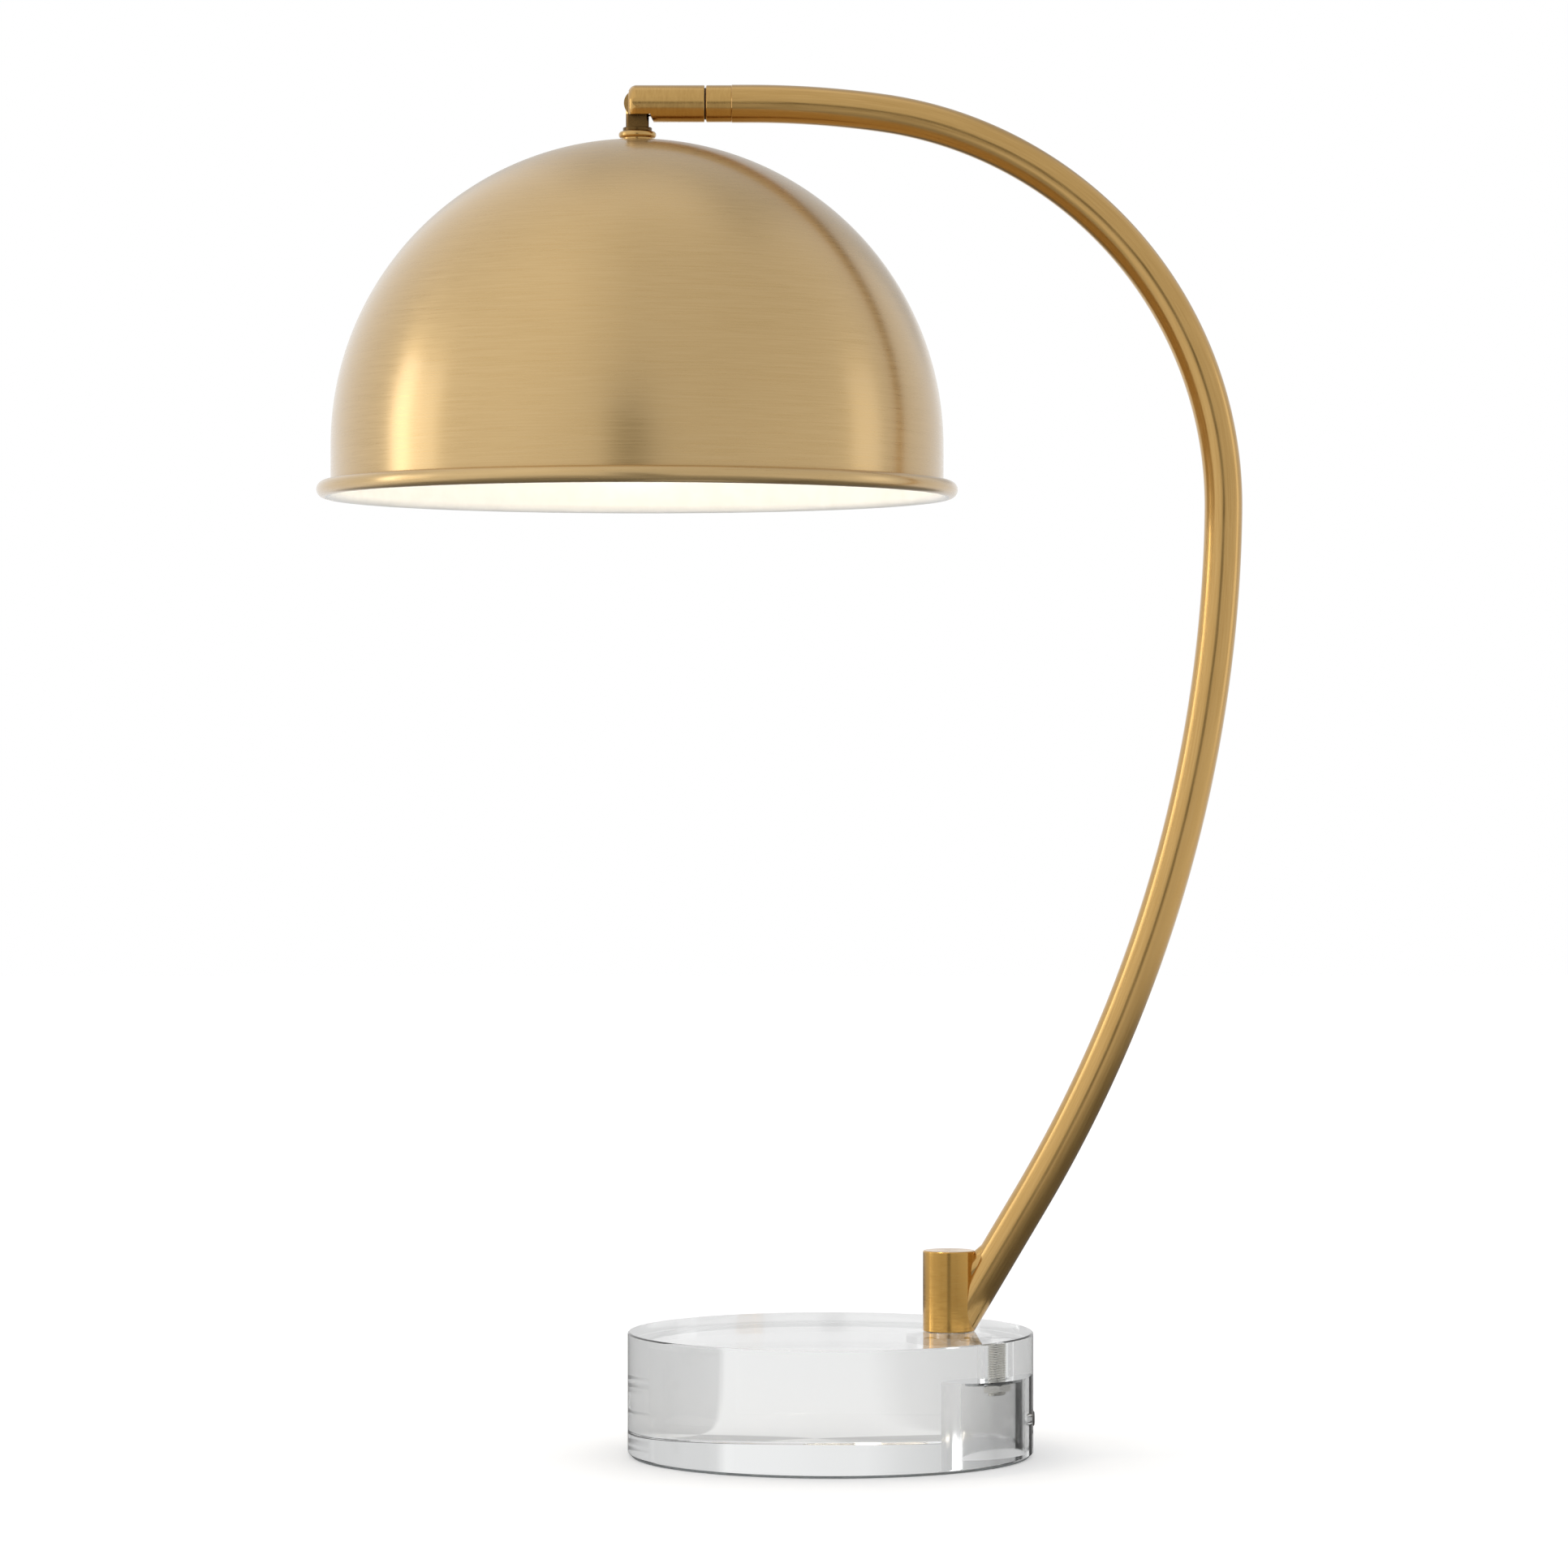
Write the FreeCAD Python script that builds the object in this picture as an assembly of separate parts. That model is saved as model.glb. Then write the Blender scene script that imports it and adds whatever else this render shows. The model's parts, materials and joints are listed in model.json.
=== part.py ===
import FreeCAD, Part
import math
import os
from FreeCAD import Placement, Rotation, Vector

# Desk lamp with a clear round base, a bent brass arm and a spun dome shade.
# Millimetres. The origin is on the table under the centre of the base, Z is up,
# X points from the shade towards the back of the arm, and the arm lies in the XZ plane.

# Clear base block
base_diameter = 171.0
base_thickness = 51.0
base_edge = 0.6                 # polished chamfer on both rims
foot_ring_inset = 1.5           # its outer edge, in from the rim of the block
foot_ring_width = 6.0
foot_ring_height = 1.2
pocket_diameter = 36.0          # blind pocket from below, under the post
pocket_depth = 32.0
stud_hole_diameter = 13.6
outlet_height = 14.1            # lead outlet above the underside of the block
outlet_diameter = 5.2
outlet_spot_depth = 0.3         # flat spot milled for the bushing's head

# Lead bushing in the rim of the base
bushing_head_diameter = 6.4
bushing_head_height = 0.9
bushing_head_round = 0.7
bushing_length = 9.0
bushing_bore = 4.2
bushing_gap = 0.1               # on its diameter, in the outlet

# Post and the hollow stud that clamps it to the base
post_inset = 35.5               # post axis, in from the rim of the block
post_diameter = 22.0
post_length = 34.0
post_edge = 0.4
stud_diameter = 10.0
stud_bore = 7.0
stud_in_post = 14.0
stud_past_nut = 1.5
stud_chamfer = 0.6
post_well_above_stud = 10.0
post_side_hole = 8.0
clamp_washer_diameter = 32.0
clamp_washer_thickness = 1.5
lock_washer_diameter = 15.5
lock_washer_thickness = 1.0
lock_washer_teeth = 10
lock_tooth_depth = 1.3
nut_flats = 14.0
nut_thickness = 4.0             # inside the shade
clamp_nut_thickness = 3.0       # in the pocket of the base
nut_chamfer = 0.7
thread_gap = 0.1                # on the diameter, where a stud passes a plain hole or nut

# Arm, bent from one tube, from the post upwards
arm_diameter = 16.0
arm_wall = 1.5
arm_lean = 30.66                # degrees from the vertical at the post
arm_foot_run = 66.5
lower_bend_radius = 586.3
lower_bend_turn = 29.92         # degrees
main_bend_radius = 167.2
main_bend_turn = 82.72          # degrees
upper_bend_radius = 399.2
arm_end_run = 8.0
arm_foot_gap = 0.4              # weld stays clear of the base top
weld_rise = 1.8                 # fillet of weld above the crotch
weld_width = 12.0
weld_inset = 0.1

# Swivel at the end of the arm
ferrule_diameter = 15.6
ferrule_length = 10.8
ferrule_edge = 0.35
plug_length = 14.0
plug_gap = 0.15                 # on the diameter, in the tube
tail_diameter = 8.0
tail_gap = 0.1                  # on the diameter, in the ferrule
tail_past_plug = 4.2
lead_bore = 5.0
swivel_washer_diameter = 13.3
swivel_washer_thickness = 0.6
swivel_diameter = 15.6
swivel_length = 32.2
swivel_end_round = 3.5
stop_pin_diameter = 1.6
stop_pin_radius = 5.35          # its circle about the swivel axis
stop_pin_in_ferrule = 4.0
stop_groove_depth = 2.0
stop_groove_gap = 0.2
swivel_range = 90.0             # degrees each way
swivel_stop_slack = 1.5         # degrees
wave_washer_height = 1.6
wave_washer_thickness = 0.4
wave_washer_width = 1.6
wave_count = 3
snap_ring_diameter = 11.4
snap_ring_thickness = 0.8
snap_groove_depth = 0.4
snap_ring_opening = 70.0        # degrees

# Tilting tongue in the slot of the swivel
pivot_setback = 3.9             # pivot to the end of the swivel
tongue_thickness = 6.0
slot_gap = 0.1                  # each side of the tongue
eye_radius = 5.65
eye_gap = 0.85                  # between the eye and the end of its slot
cheek_drop = 4.9                # milled flat below the pivot axis
cheek_flat_run = 5.5
cheek_ramp_run = 1.4
pivot_pin_diameter = 4.0
pivot_gap = 0.1                 # on the diameter, in the tongue
neck_width = 9.6
neck_edge = 0.9
collar_drop = 10.1
collar_diameter = 12.3
collar_thickness = 1.7
collar_edge = 0.4
spigot_bore = 5.5
slant_bore = 3.4
slant_reach = 5.2               # where the slanted lead hole leaves the eye
slant_drop = 2.0

# Spun shade and its fixings
shade_radius = 129.1
shade_skirt = 16.5
shade_sheet = 0.9
bead_radius = 3.45
bead_drop = 2.15                # bead centre below the skirt's crease
shade_hole_gap = 0.4
check_ring_diameter = 15.8
check_ring_thickness = 2.8
check_ring_round = 1.2
check_ring_foot_diameter = 13.0
check_ring_foot_height = 0.8
inner_washer_diameter = 20.0
inner_washer_thickness = 1.2

# Lampholder
holder_neck_diameter = 14.0
holder_neck_length = 5.0
holder_cap_diameter = 34.0
holder_cap_shoulder = 9.0
holder_cap_lip = 6.0
holder_sheet = 0.8
holder_shell_length = 40.0
holder_shell_overlap = 4.0
holder_bead = 1.0
holder_fit = 0.1                # radial, one sleeve in the next
switch_block_length = 14.0
switch_block_overlap = 5.0
screw_shell_bore = 26.6
screw_shell_wall = 0.5
screw_shell_length = 21.0
screw_shell_hole = 12.0
liner_wall = 0.8
liner_length = 26.0
contact_width = 7.0
contact_sheet = 0.6
contact_rise = 2.4
contact_rivet_diameter = 3.0

# Turn switch on the lampholder
key_drop = 7.5                  # its axis below the top of the switch block
key_shaft_diameter = 4.0
key_shaft_gap = 0.1
key_shaft_depth = 12.0          # into the block from the holder's wall
key_rotor_diameter = 7.6
key_rotor_thickness = 3.0
key_rotor_gap = 0.4
key_stem_length = 13.0
key_knob_diameter = 9.0
key_knob_length = 11.0
key_knob_round = 1.5
key_knob_flutes = 8
key_flute_radius = 0.8
key_hole_gap = 1.0

# Bulb
bulb_length = 104.0
bulb_diameter = 60.0
bulb_cap_diameter = 26.2
bulb_cap_length = 22.0
bulb_cap_wall = 0.4
bulb_body_length = 30.0
bulb_body_rim = 2.0
bulb_seam_diameter = 56.0
bulb_neck_diameter = 28.0
bulb_tip_diameter = 10.0
bulb_tip_height = 2.6
bulb_insulator_height = 3.0
bulb_insulator_diameter = 21.0
bulb_wall = 1.2

# Shared small values
over = 5.0                      # overrun of every cut
sit = 0.05                      # daylight between a flat washer and the curved sheet

# Worked out from the sizes above
base_radius = base_diameter / 2
post_offset = base_radius - post_inset
base_top = foot_ring_height + base_thickness
post_radius = post_diameter / 2
post_top = base_top + post_length
pocket_roof = foot_ring_height + pocket_depth
arm_radius = arm_diameter / 2
arm_bore_radius = arm_radius - arm_wall
pin_slot = tongue_thickness + 2 * slot_gap
cap_start = collar_drop + collar_thickness + check_ring_thickness + check_ring_foot_height
origin = Vector(0, 0, 0)
up = Vector(0, 0, 1)


# Shapes from outlines

def loop(points):
    """Closed wire in the XZ plane; each point is (x, z) or (x, z, corner radius)."""
    corners = []
    for i, point in enumerate(points):
        here = Vector(point[0], 0, point[1])
        radius = point[2] if len(point) > 2 else 0
        if not radius:
            corners.append((here, None, here))
            continue
        back = points[i - 1]
        ahead = points[(i + 1) % len(points)]
        a = (Vector(back[0], 0, back[1]) - here).normalize()
        b = (Vector(ahead[0], 0, ahead[1]) - here).normalize()
        half = a.getAngle(b) / 2
        middle = (a + b).normalize()
        tangent = radius / math.tan(half)
        crown = radius / math.sin(half) - radius
        corners.append((here + a * tangent, here + middle * crown, here + b * tangent))
    edges = []
    for i, (first, crown, last) in enumerate(corners):
        if crown is not None:
            edges.append(Part.Arc(first, crown, last).toShape())
        following = corners[(i + 1) % len(corners)][0]
        if not last.isEqual(following, Part.Precision.confusion()):
            edges.append(Part.LineSegment(last, following).toShape())
    return Part.Wire(edges)


def turned(points):
    """Solid of revolution about Z of an outline of (radius, height) points."""
    return Part.Face(loop(points)).revolve(origin, up, 360)


def slab(points, width):
    """Outline in the XZ plane, made a plate of this width with Y in its middle."""
    plate = Part.Face(loop(points)).extrude(Vector(0, width, 0))
    plate.translate(Vector(0, -width / 2, 0))
    return plate


def tube(outer, inner, low, high):
    """Plain sleeve about Z between two heights, from its diameters."""
    return turned([(inner / 2, low), (outer / 2, low), (outer / 2, high), (inner / 2, high)])


def rod(diameter, low, high):
    return Part.makeCylinder(diameter / 2, high - low, Vector(0, 0, low))


def hexagon(flats, low, high, hole, chamfer):
    """Hexagon nut with its corners turned off at both ends."""
    corner = flats / math.sqrt(3)
    ring = [Vector(corner * math.cos(math.radians(60 * i)), corner * math.sin(math.radians(60 * i)), low)
            for i in range(7)]
    prism = Part.Face(Part.makePolygon(ring)).extrude(Vector(0, 0, high - low))
    rim = flats / 2 + chamfer / 2
    slope = (corner - rim) / math.sqrt(3)
    cone = turned([(0, low), (rim, low), (corner, low + slope), (corner, high - slope), (rim, high), (0, high)])
    return prism.common(cone).cut(rod(hole, low - over, high + over))


def placed(shape, place, turn=None):
    """Copy of a shape, turned and then moved to a point."""
    copy = shape.copy()
    copy.Placement = Placement(place, turn or Rotation()).multiply(copy.Placement)
    return copy


along_y = Rotation(Vector(1, 0, 0), 90)      # local Z goes to -Y
along_x = Rotation(Vector(0, 1, 0), 90)      # local Z goes to +X
along_minus_x = Rotation(Vector(0, 1, 0), -90)


# Arm centreline

def arm_path():
    """Edges of the arm's centreline from the post upwards, with its last point."""
    lean = math.radians(arm_lean)
    foot = base_top + arm_foot_gap - (post_radius - arm_radius / math.cos(lean)) / math.tan(lean)
    heading = 90 - arm_lean
    point = Vector(post_offset, 0, foot)
    edges = []
    upper_turn = 180 - heading - lower_bend_turn - main_bend_turn
    runs = ((arm_foot_run, 0, 0), (0, lower_bend_radius, lower_bend_turn),
            (0, main_bend_radius, main_bend_turn), (0, upper_bend_radius, upper_turn), (arm_end_run, 0, 0))
    for length, radius, turn in runs:
        angle = math.radians(heading)
        if radius:
            centre = point + Vector(-math.sin(angle), 0, math.cos(angle)) * radius
            middle, last = (centre + Rotation(Vector(0, 1, 0), -turn * share).multVec(point - centre)
                            for share in (0.5, 1))
            edges.append(Part.Arc(point, middle, last).toShape())
            point = last
            heading += turn
        else:
            ahead = point + Vector(math.cos(angle), 0, math.sin(angle)) * length
            edges.append(Part.LineSegment(point, ahead).toShape())
            point = ahead
    return edges, point


arm_edges, arm_end = arm_path()
pivot = arm_end - Vector(ferrule_length + swivel_washer_thickness + swivel_length - pivot_setback, 0, 0)


# Base

def make_base_block():
    low, high = foot_ring_height, base_top
    block = turned([(0, low), (base_radius - base_edge, low), (base_radius, low + base_edge),
                    (base_radius, high - base_edge), (base_radius - base_edge, high), (0, high)])
    post_axis = Vector(post_offset, 0, 0)
    well = placed(rod(pocket_diameter, low - over, pocket_roof), post_axis)
    hole = placed(rod(stud_hole_diameter, pocket_roof - over, high + over), post_axis)
    outlet_z = low + outlet_height
    reach = base_radius - post_offset
    outlet = placed(rod(outlet_diameter, 0, reach + over), Vector(post_offset, 0, outlet_z), along_x)
    spot = placed(rod(bushing_head_diameter + 2 * bushing_gap, 0, over),
                  Vector(base_radius - outlet_spot_depth, 0, outlet_z), along_x)
    return block.cut(well).cut(hole).cut(outlet).cut(spot)


def make_foot_ring():
    edge = foot_ring_height / 4
    outer = base_radius - foot_ring_inset
    inner = outer - foot_ring_width
    return turned([(inner + edge, 0), (outer - edge, 0), (outer, edge), (outer, foot_ring_height),
                   (inner, foot_ring_height), (inner, edge)])


def make_cable_bushing():
    """Snap-in bushing with a domed head, its axis radial in the rim of the base."""
    head = bushing_head_diameter / 2
    body = (outlet_diameter - bushing_gap) / 2
    bore = bushing_bore / 2
    shape = turned([(bore, -bushing_length), (body - bushing_gap, -bushing_length),
                    (body, -bushing_length + bushing_gap), (body, 0), (head, 0),
                    (head, bushing_head_height, bushing_head_round), (bore, bushing_head_height)])
    return placed(shape, Vector(base_radius - outlet_spot_depth, 0, foot_ring_height + outlet_height), along_x)


# Post and its clamp

def make_post():
    well_top = base_top + stud_in_post + post_well_above_stud
    shape = turned([(0, base_top), (post_radius - post_edge, base_top), (post_radius, base_top + post_edge),
                    (post_radius, post_top - post_edge), (post_radius - post_edge, post_top), (0, post_top)])
    shape = shape.cut(rod(stud_diameter + thread_gap, base_top - over, base_top + stud_in_post))
    shape = shape.cut(rod(stud_bore, base_top, well_top))
    side = rod(post_side_hole, 0, post_radius + over)
    shape = shape.cut(placed(side, Vector(0, 0, well_top - post_side_hole / 2), along_x))
    return placed(shape, Vector(post_offset, 0, 0))


def make_post_stud():
    nut_low = pocket_roof - clamp_washer_thickness - lock_washer_thickness - clamp_nut_thickness
    low = nut_low - stud_past_nut
    high = base_top + stud_in_post
    radius = stud_diameter / 2
    shape = turned([(stud_bore / 2, low), (radius - stud_chamfer, low), (radius, low + stud_chamfer),
                    (radius, high - stud_chamfer), (radius - stud_chamfer, high), (stud_bore / 2, high)])
    return placed(shape, Vector(post_offset, 0, 0))


def make_clamp_washer():
    low = pocket_roof - clamp_washer_thickness
    shape = tube(clamp_washer_diameter, stud_diameter + thread_gap, low, pocket_roof)
    return placed(shape, Vector(post_offset, 0, 0))


def make_lock_washer():
    """Flat washer with external teeth."""
    high = pocket_roof - clamp_washer_thickness
    low = high - lock_washer_thickness
    shape = tube(lock_washer_diameter, stud_diameter + thread_gap, low, high)
    notch = rod(2 * lock_tooth_depth, low - over, high + over)
    for i in range(lock_washer_teeth):
        angle = 2 * math.pi * i / lock_washer_teeth
        rim = lock_washer_diameter / 2
        shape = shape.cut(placed(notch, Vector(rim * math.cos(angle), rim * math.sin(angle), 0)))
    return placed(shape, Vector(post_offset, 0, 0))


def make_clamp_nut():
    high = pocket_roof - clamp_washer_thickness - lock_washer_thickness
    shape = hexagon(nut_flats, high - clamp_nut_thickness, high, stud_diameter + thread_gap, nut_chamfer)
    return placed(shape, Vector(post_offset, 0, 0))


# Arm

def swept(radius, path):
    """Round bar along a path that starts and ends straight."""
    start = path[0].Vertexes[0].Point
    along = path[0].Vertexes[1].Point - start
    ring = Part.Wire(Part.Circle(start, along, radius).toShape())
    return Part.Wire(path).makePipeShell([ring], True, False)


def make_arm_tube():
    """Bent tube, coped round the post, with a ramp of weld dressed smooth in the crotch."""
    end = arm_edges[-1]
    ahead = (end.Vertexes[1].Point - end.Vertexes[0].Point).normalize() * over
    beyond = Part.LineSegment(arm_end, arm_end + ahead).toShape()
    outside = swept(arm_radius, arm_edges)
    lean = math.radians(arm_lean)
    axis = Vector(math.sin(lean), 0, math.cos(lean))
    side = Vector(-axis.z, 0, axis.x)
    foot = arm_edges[0].Vertexes[0].Point
    corner = Vector(post_offset + post_radius, 0, post_top)
    height = (corner - foot).dot(axis) + weld_rise * 2
    touch = foot + axis * height + side * (arm_radius - weld_inset)
    slope = (touch - corner).normalize()
    inward = Vector(slope.z, 0, -slope.x)
    ramp_radius = weld_width / 2
    ramp_length = (touch - corner).Length + arm_diameter
    ramp_foot = touch + inward * ramp_radius - slope * ramp_length
    shape = outside.fuse(Part.makeCylinder(ramp_radius, ramp_length, ramp_foot, slope))
    post_foot = Vector(post_offset, 0, base_top - post_length / 2)
    post_space = Part.makeCylinder(post_radius, 2 * post_length, post_foot)
    below = Part.makeBox(base_diameter, base_diameter, base_diameter,
                         Vector(-base_radius, -base_radius, base_top + arm_foot_gap - base_diameter))
    reach, depth = post_diameter + arm_diameter, arm_diameter + over
    corner = Vector(post_offset - reach, -depth / 2, base_top - base_radius)
    behind = Part.makeBox(reach, depth, base_diameter, corner)
    bore = swept(arm_bore_radius, arm_edges + [beyond])
    return shape.cut(post_space).cut(behind).cut(below).cut(bore)


# Swivel parts, built about Z from the end of the tube outwards

def on_arm_end(shape):
    return placed(shape, arm_end, along_minus_x)


def make_arm_ferrule():
    outer = ferrule_diameter / 2
    plug = arm_bore_radius - plug_gap / 2
    bore = (tail_diameter + tail_gap) / 2
    shape = turned([(bore, -plug_length), (plug - ferrule_edge, -plug_length),
                    (plug, -plug_length + ferrule_edge), (plug, 0), (outer, 0),
                    (outer, ferrule_length, ferrule_edge), (bore, ferrule_length)])
    pin_hole = rod(stop_pin_diameter, ferrule_length - stop_pin_in_ferrule, ferrule_length + over)
    return on_arm_end(shape.cut(placed(pin_hole, Vector(stop_pin_radius, 0, 0))))


def make_stop_pin():
    low = ferrule_length - stop_pin_in_ferrule
    high = ferrule_length + swivel_washer_thickness + stop_groove_depth - stop_groove_gap
    radius = stop_pin_diameter / 2
    shape = turned([(0, low), (radius, low), (radius, high, radius / 2), (0, high)])
    return on_arm_end(placed(shape, Vector(stop_pin_radius, 0, 0)))


def make_swivel_washer():
    """Thin friction washer that shows as the dark joint line."""
    low = ferrule_length
    high = low + swivel_washer_thickness
    shape = tube(swivel_washer_diameter, tail_diameter + tail_gap, low, high)
    pin_hole = rod(stop_pin_diameter + tail_gap, low - over, high + over)
    return on_arm_end(shape.cut(placed(pin_hole, Vector(stop_pin_radius, 0, 0))))


def make_swivel_body():
    """Turned fork: tail through the ferrule, slotted head for the tongue, stop groove in the shoulder."""
    tail_end = -plug_length - tail_past_plug
    shoulder = ferrule_length + swivel_washer_thickness
    front = shoulder + swivel_length
    head = swivel_diameter / 2
    tail = tail_diameter / 2
    ring_low, ring_high = snap_ring_span()
    groove = tail - snap_groove_depth
    shape = turned([(0, tail_end), (tail - tail_gap, tail_end), (tail, tail_end + tail_gap), (tail, ring_low),
                    (groove, ring_low), (groove, ring_high), (tail, ring_high), (tail, shoulder),
                    (head, shoulder, ferrule_edge), (head, front, swivel_end_round), (0, front)])
    shape = shape.cut(stop_groove(shoulder))
    shape = shape.cut(rod(lead_bore, tail_end - over, shoulder + swivel_length - pivot_setback))
    shape = on_arm_end(shape)
    pocket = placed(rod(2 * (eye_radius + eye_gap), -pin_slot / 2, pin_slot / 2), pivot, along_y)
    reach = eye_radius + eye_gap
    mouth = placed(slab([(-swivel_diameter, -swivel_diameter), (reach, -swivel_diameter), (reach, 0),
                         (-swivel_diameter, 0)], pin_slot), pivot)
    ramp_end = cheek_flat_run + cheek_ramp_run
    relief = slab([(-swivel_diameter, -swivel_diameter), (ramp_end, -swivel_diameter), (ramp_end, -head),
                   (cheek_flat_run, -cheek_drop), (-swivel_diameter, -cheek_drop)], 2 * swivel_diameter)
    pin_hole = placed(rod(pivot_pin_diameter, -swivel_diameter, swivel_diameter), pivot, along_y)
    return shape.cut(pocket).cut(mouth).cut(placed(relief, pivot)).cut(pin_hole)


def stop_groove(shoulder):
    """Curved groove that lets the swivel turn its range each way past the stop pin."""
    half_pin = math.degrees(math.asin(stop_pin_diameter / 2 / stop_pin_radius))
    half = swivel_range + half_pin + swivel_stop_slack
    inner = stop_pin_radius - stop_pin_diameter / 2 - tail_gap
    outer = stop_pin_radius + stop_pin_diameter / 2 + tail_gap
    section = Part.Face(loop([(inner, shoulder - over), (outer, shoulder - over),
                              (outer, shoulder + stop_groove_depth), (inner, shoulder + stop_groove_depth)]))
    section.rotate(origin, up, -half)
    return section.revolve(origin, up, 2 * half)


def snap_ring_span():
    """Low and high end of the snap ring on the tail, clear of the wave washer."""
    high = -plug_length - wave_washer_height
    return high - snap_ring_thickness, high


def make_wave_washer():
    """Ring bent into waves, pressing the snap ring away from the ferrule."""
    inner = (tail_diameter + tail_gap) / 2
    outer = inner + wave_washer_width
    middle = -plug_length - wave_washer_height / 2
    swing = (wave_washer_height - wave_washer_thickness) / 2 - sit
    turns = 8 * wave_count
    faces = []
    for side in (-1, 1):
        rails = []
        for radius in (inner, outer):
            points = []
            for i in range(turns):
                angle = 2 * math.pi * i / turns
                lift = middle + swing * math.cos(wave_count * angle) + side * wave_washer_thickness / 2
                points.append(Vector(radius * math.cos(angle), radius * math.sin(angle), lift))
            curve = Part.BSplineCurve()
            curve.interpolate(points, True)
            rails.append(curve.toShape())
        faces.append((Part.makeRuledSurface(rails[0], rails[1]), rails))
    walls = [Part.makeRuledSurface(faces[0][1][k], faces[1][1][k]) for k in (0, 1)]
    shell = Part.Shell([faces[0][0], faces[1][0]] + walls)
    shell.sewShape()
    solid = Part.Solid(Part.Shell(shell.Faces))
    if solid.Volume < 0:
        solid.reverse()
    return on_arm_end(solid)


def make_snap_ring():
    low, high = snap_ring_span()
    shape = tube(snap_ring_diameter, tail_diameter - 2 * snap_groove_depth, low, high)
    gap = Part.Face(loop([(0, low - over), (swivel_diameter, low - over), (swivel_diameter, high + over),
                          (0, high + over)]))
    gap.rotate(origin, up, 180 - snap_ring_opening / 2)
    return on_arm_end(shape.cut(gap.revolve(origin, up, snap_ring_opening)))


def make_pivot_pin():
    """Pin pressed through both cheeks, its ends dressed to the round of the swivel."""
    pin = placed(rod(pivot_pin_diameter, -swivel_diameter, swivel_diameter), pivot, along_y)
    round_bar = placed(rod(swivel_diameter, -swivel_diameter, swivel_diameter), pivot, along_x)
    return pin.common(round_bar)


# Tilting tongue and what hangs on it, built about Z with the pivot at the origin

def on_pivot(shape):
    return placed(shape, pivot)


def make_tilt_tongue():
    """Eye, chamfered neck, round collar and hollow threaded spigot in one turned and milled piece."""
    eye = placed(rod(2 * eye_radius, -tongue_thickness / 2, tongue_thickness / 2), origin, along_y)
    half, deep = neck_width / 2, tongue_thickness / 2
    ring = [(-half, -deep + neck_edge), (-half + neck_edge, -deep), (half - neck_edge, -deep),
            (half, -deep + neck_edge), (half, deep - neck_edge), (half - neck_edge, deep),
            (-half + neck_edge, deep), (-half, deep - neck_edge)]
    wire = Part.makePolygon([Vector(x, y, -collar_drop) for x, y in ring + ring[:1]])
    neck = Part.Face(wire).extrude(Vector(0, 0, collar_drop - pivot_pin_diameter / 2))
    collar_low = -collar_drop - collar_thickness
    spigot_low = collar_low - check_stack() - nut_thickness - holder_neck_length
    spigot = stud_diameter / 2
    collar = collar_diameter / 2
    foot = turned([(0, spigot_low), (spigot - stud_chamfer, spigot_low), (spigot, spigot_low + stud_chamfer),
                   (spigot, collar_low), (collar, collar_low, collar_edge), (collar, -collar_drop, collar_edge),
                   (0, -collar_drop)])
    shape = eye.fuse(neck).fuse(foot).removeSplitter()
    bore_top = -collar_drop + collar_edge
    shape = shape.cut(rod(spigot_bore, spigot_low - over, bore_top))
    low = Vector(0, 0, bore_top)
    reach = (Vector(slant_reach, 0, -slant_drop) - low)
    shape = shape.cut(Part.makeCylinder(slant_bore / 2, reach.Length + over, low, reach))
    pin_hole = placed(rod(pivot_pin_diameter + pivot_gap, -tongue_thickness, tongue_thickness), origin, along_y)
    return on_pivot(shape.cut(pin_hole))


def dome_sag(radius, reach):
    """How far a dome of this radius has fallen at a reach from its axis."""
    return radius - math.sqrt(radius ** 2 - reach ** 2)


def check_stack():
    """Height from the collar's underside to the top of the nut inside the shade."""
    under_sheet = shade_sheet + dome_sag(shade_radius - shade_sheet, inner_washer_diameter / 2) + sit
    return check_ring_thickness + check_ring_foot_height + under_sheet + inner_washer_thickness


def make_check_ring():
    high = -collar_drop - collar_thickness
    middle = high - check_ring_thickness
    low = middle - check_ring_foot_height
    outer = check_ring_diameter / 2
    foot = check_ring_foot_diameter / 2
    bore = (stud_diameter + thread_gap) / 2
    return on_pivot(turned([(bore, low), (foot, low), (foot, middle), (outer, middle, check_ring_round),
                            (outer, high, check_ring_round), (bore, high)]))


def make_shade():
    """Spun dome: half a sphere, a short straight skirt and a rim rolled outwards."""
    centre = -cap_start - shade_radius
    inside = shade_radius - shade_sheet
    hole = (stud_diameter + shade_hole_gap) / 2
    crease = centre - shade_skirt
    bead_x = inside + bead_radius
    bead_z = crease - bead_drop
    rise = math.sqrt(bead_radius ** 2 - (shade_radius - bead_x) ** 2)

    def on_sphere(radius, reach):
        return Vector(reach, 0, centre + math.sqrt(radius ** 2 - reach ** 2))

    def on_bead(turn):
        angle = math.radians(turn)
        return Vector(bead_x + bead_radius * math.cos(angle), 0, bead_z + bead_radius * math.sin(angle))

    outer_top, inner_top = on_sphere(shade_radius, hole), on_sphere(inside, hole)
    outer_side, inner_side = Vector(shade_radius, 0, centre), Vector(inside, 0, centre)
    outer_mid = on_sphere(shade_radius, shade_radius * math.sin(math.pi / 4))
    inner_mid = on_sphere(inside, inside * math.sin(math.pi / 4))
    meet = Vector(shade_radius, 0, bead_z + rise)
    bottom, inward = -90, -180
    edges = [Part.LineSegment(inner_top, outer_top), Part.Arc(outer_top, outer_mid, outer_side),
             Part.LineSegment(outer_side, meet), Part.Arc(meet, on_bead(0), on_bead(bottom)),
             Part.Arc(on_bead(bottom), on_bead((bottom + inward) / 2), on_bead(inward)),
             Part.LineSegment(on_bead(inward), inner_side), Part.Arc(inner_side, inner_mid, inner_top)]
    profile = Part.Wire([edge.toShape() for edge in edges])
    return on_pivot(Part.Face(profile).revolve(origin, up, 360))


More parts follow.
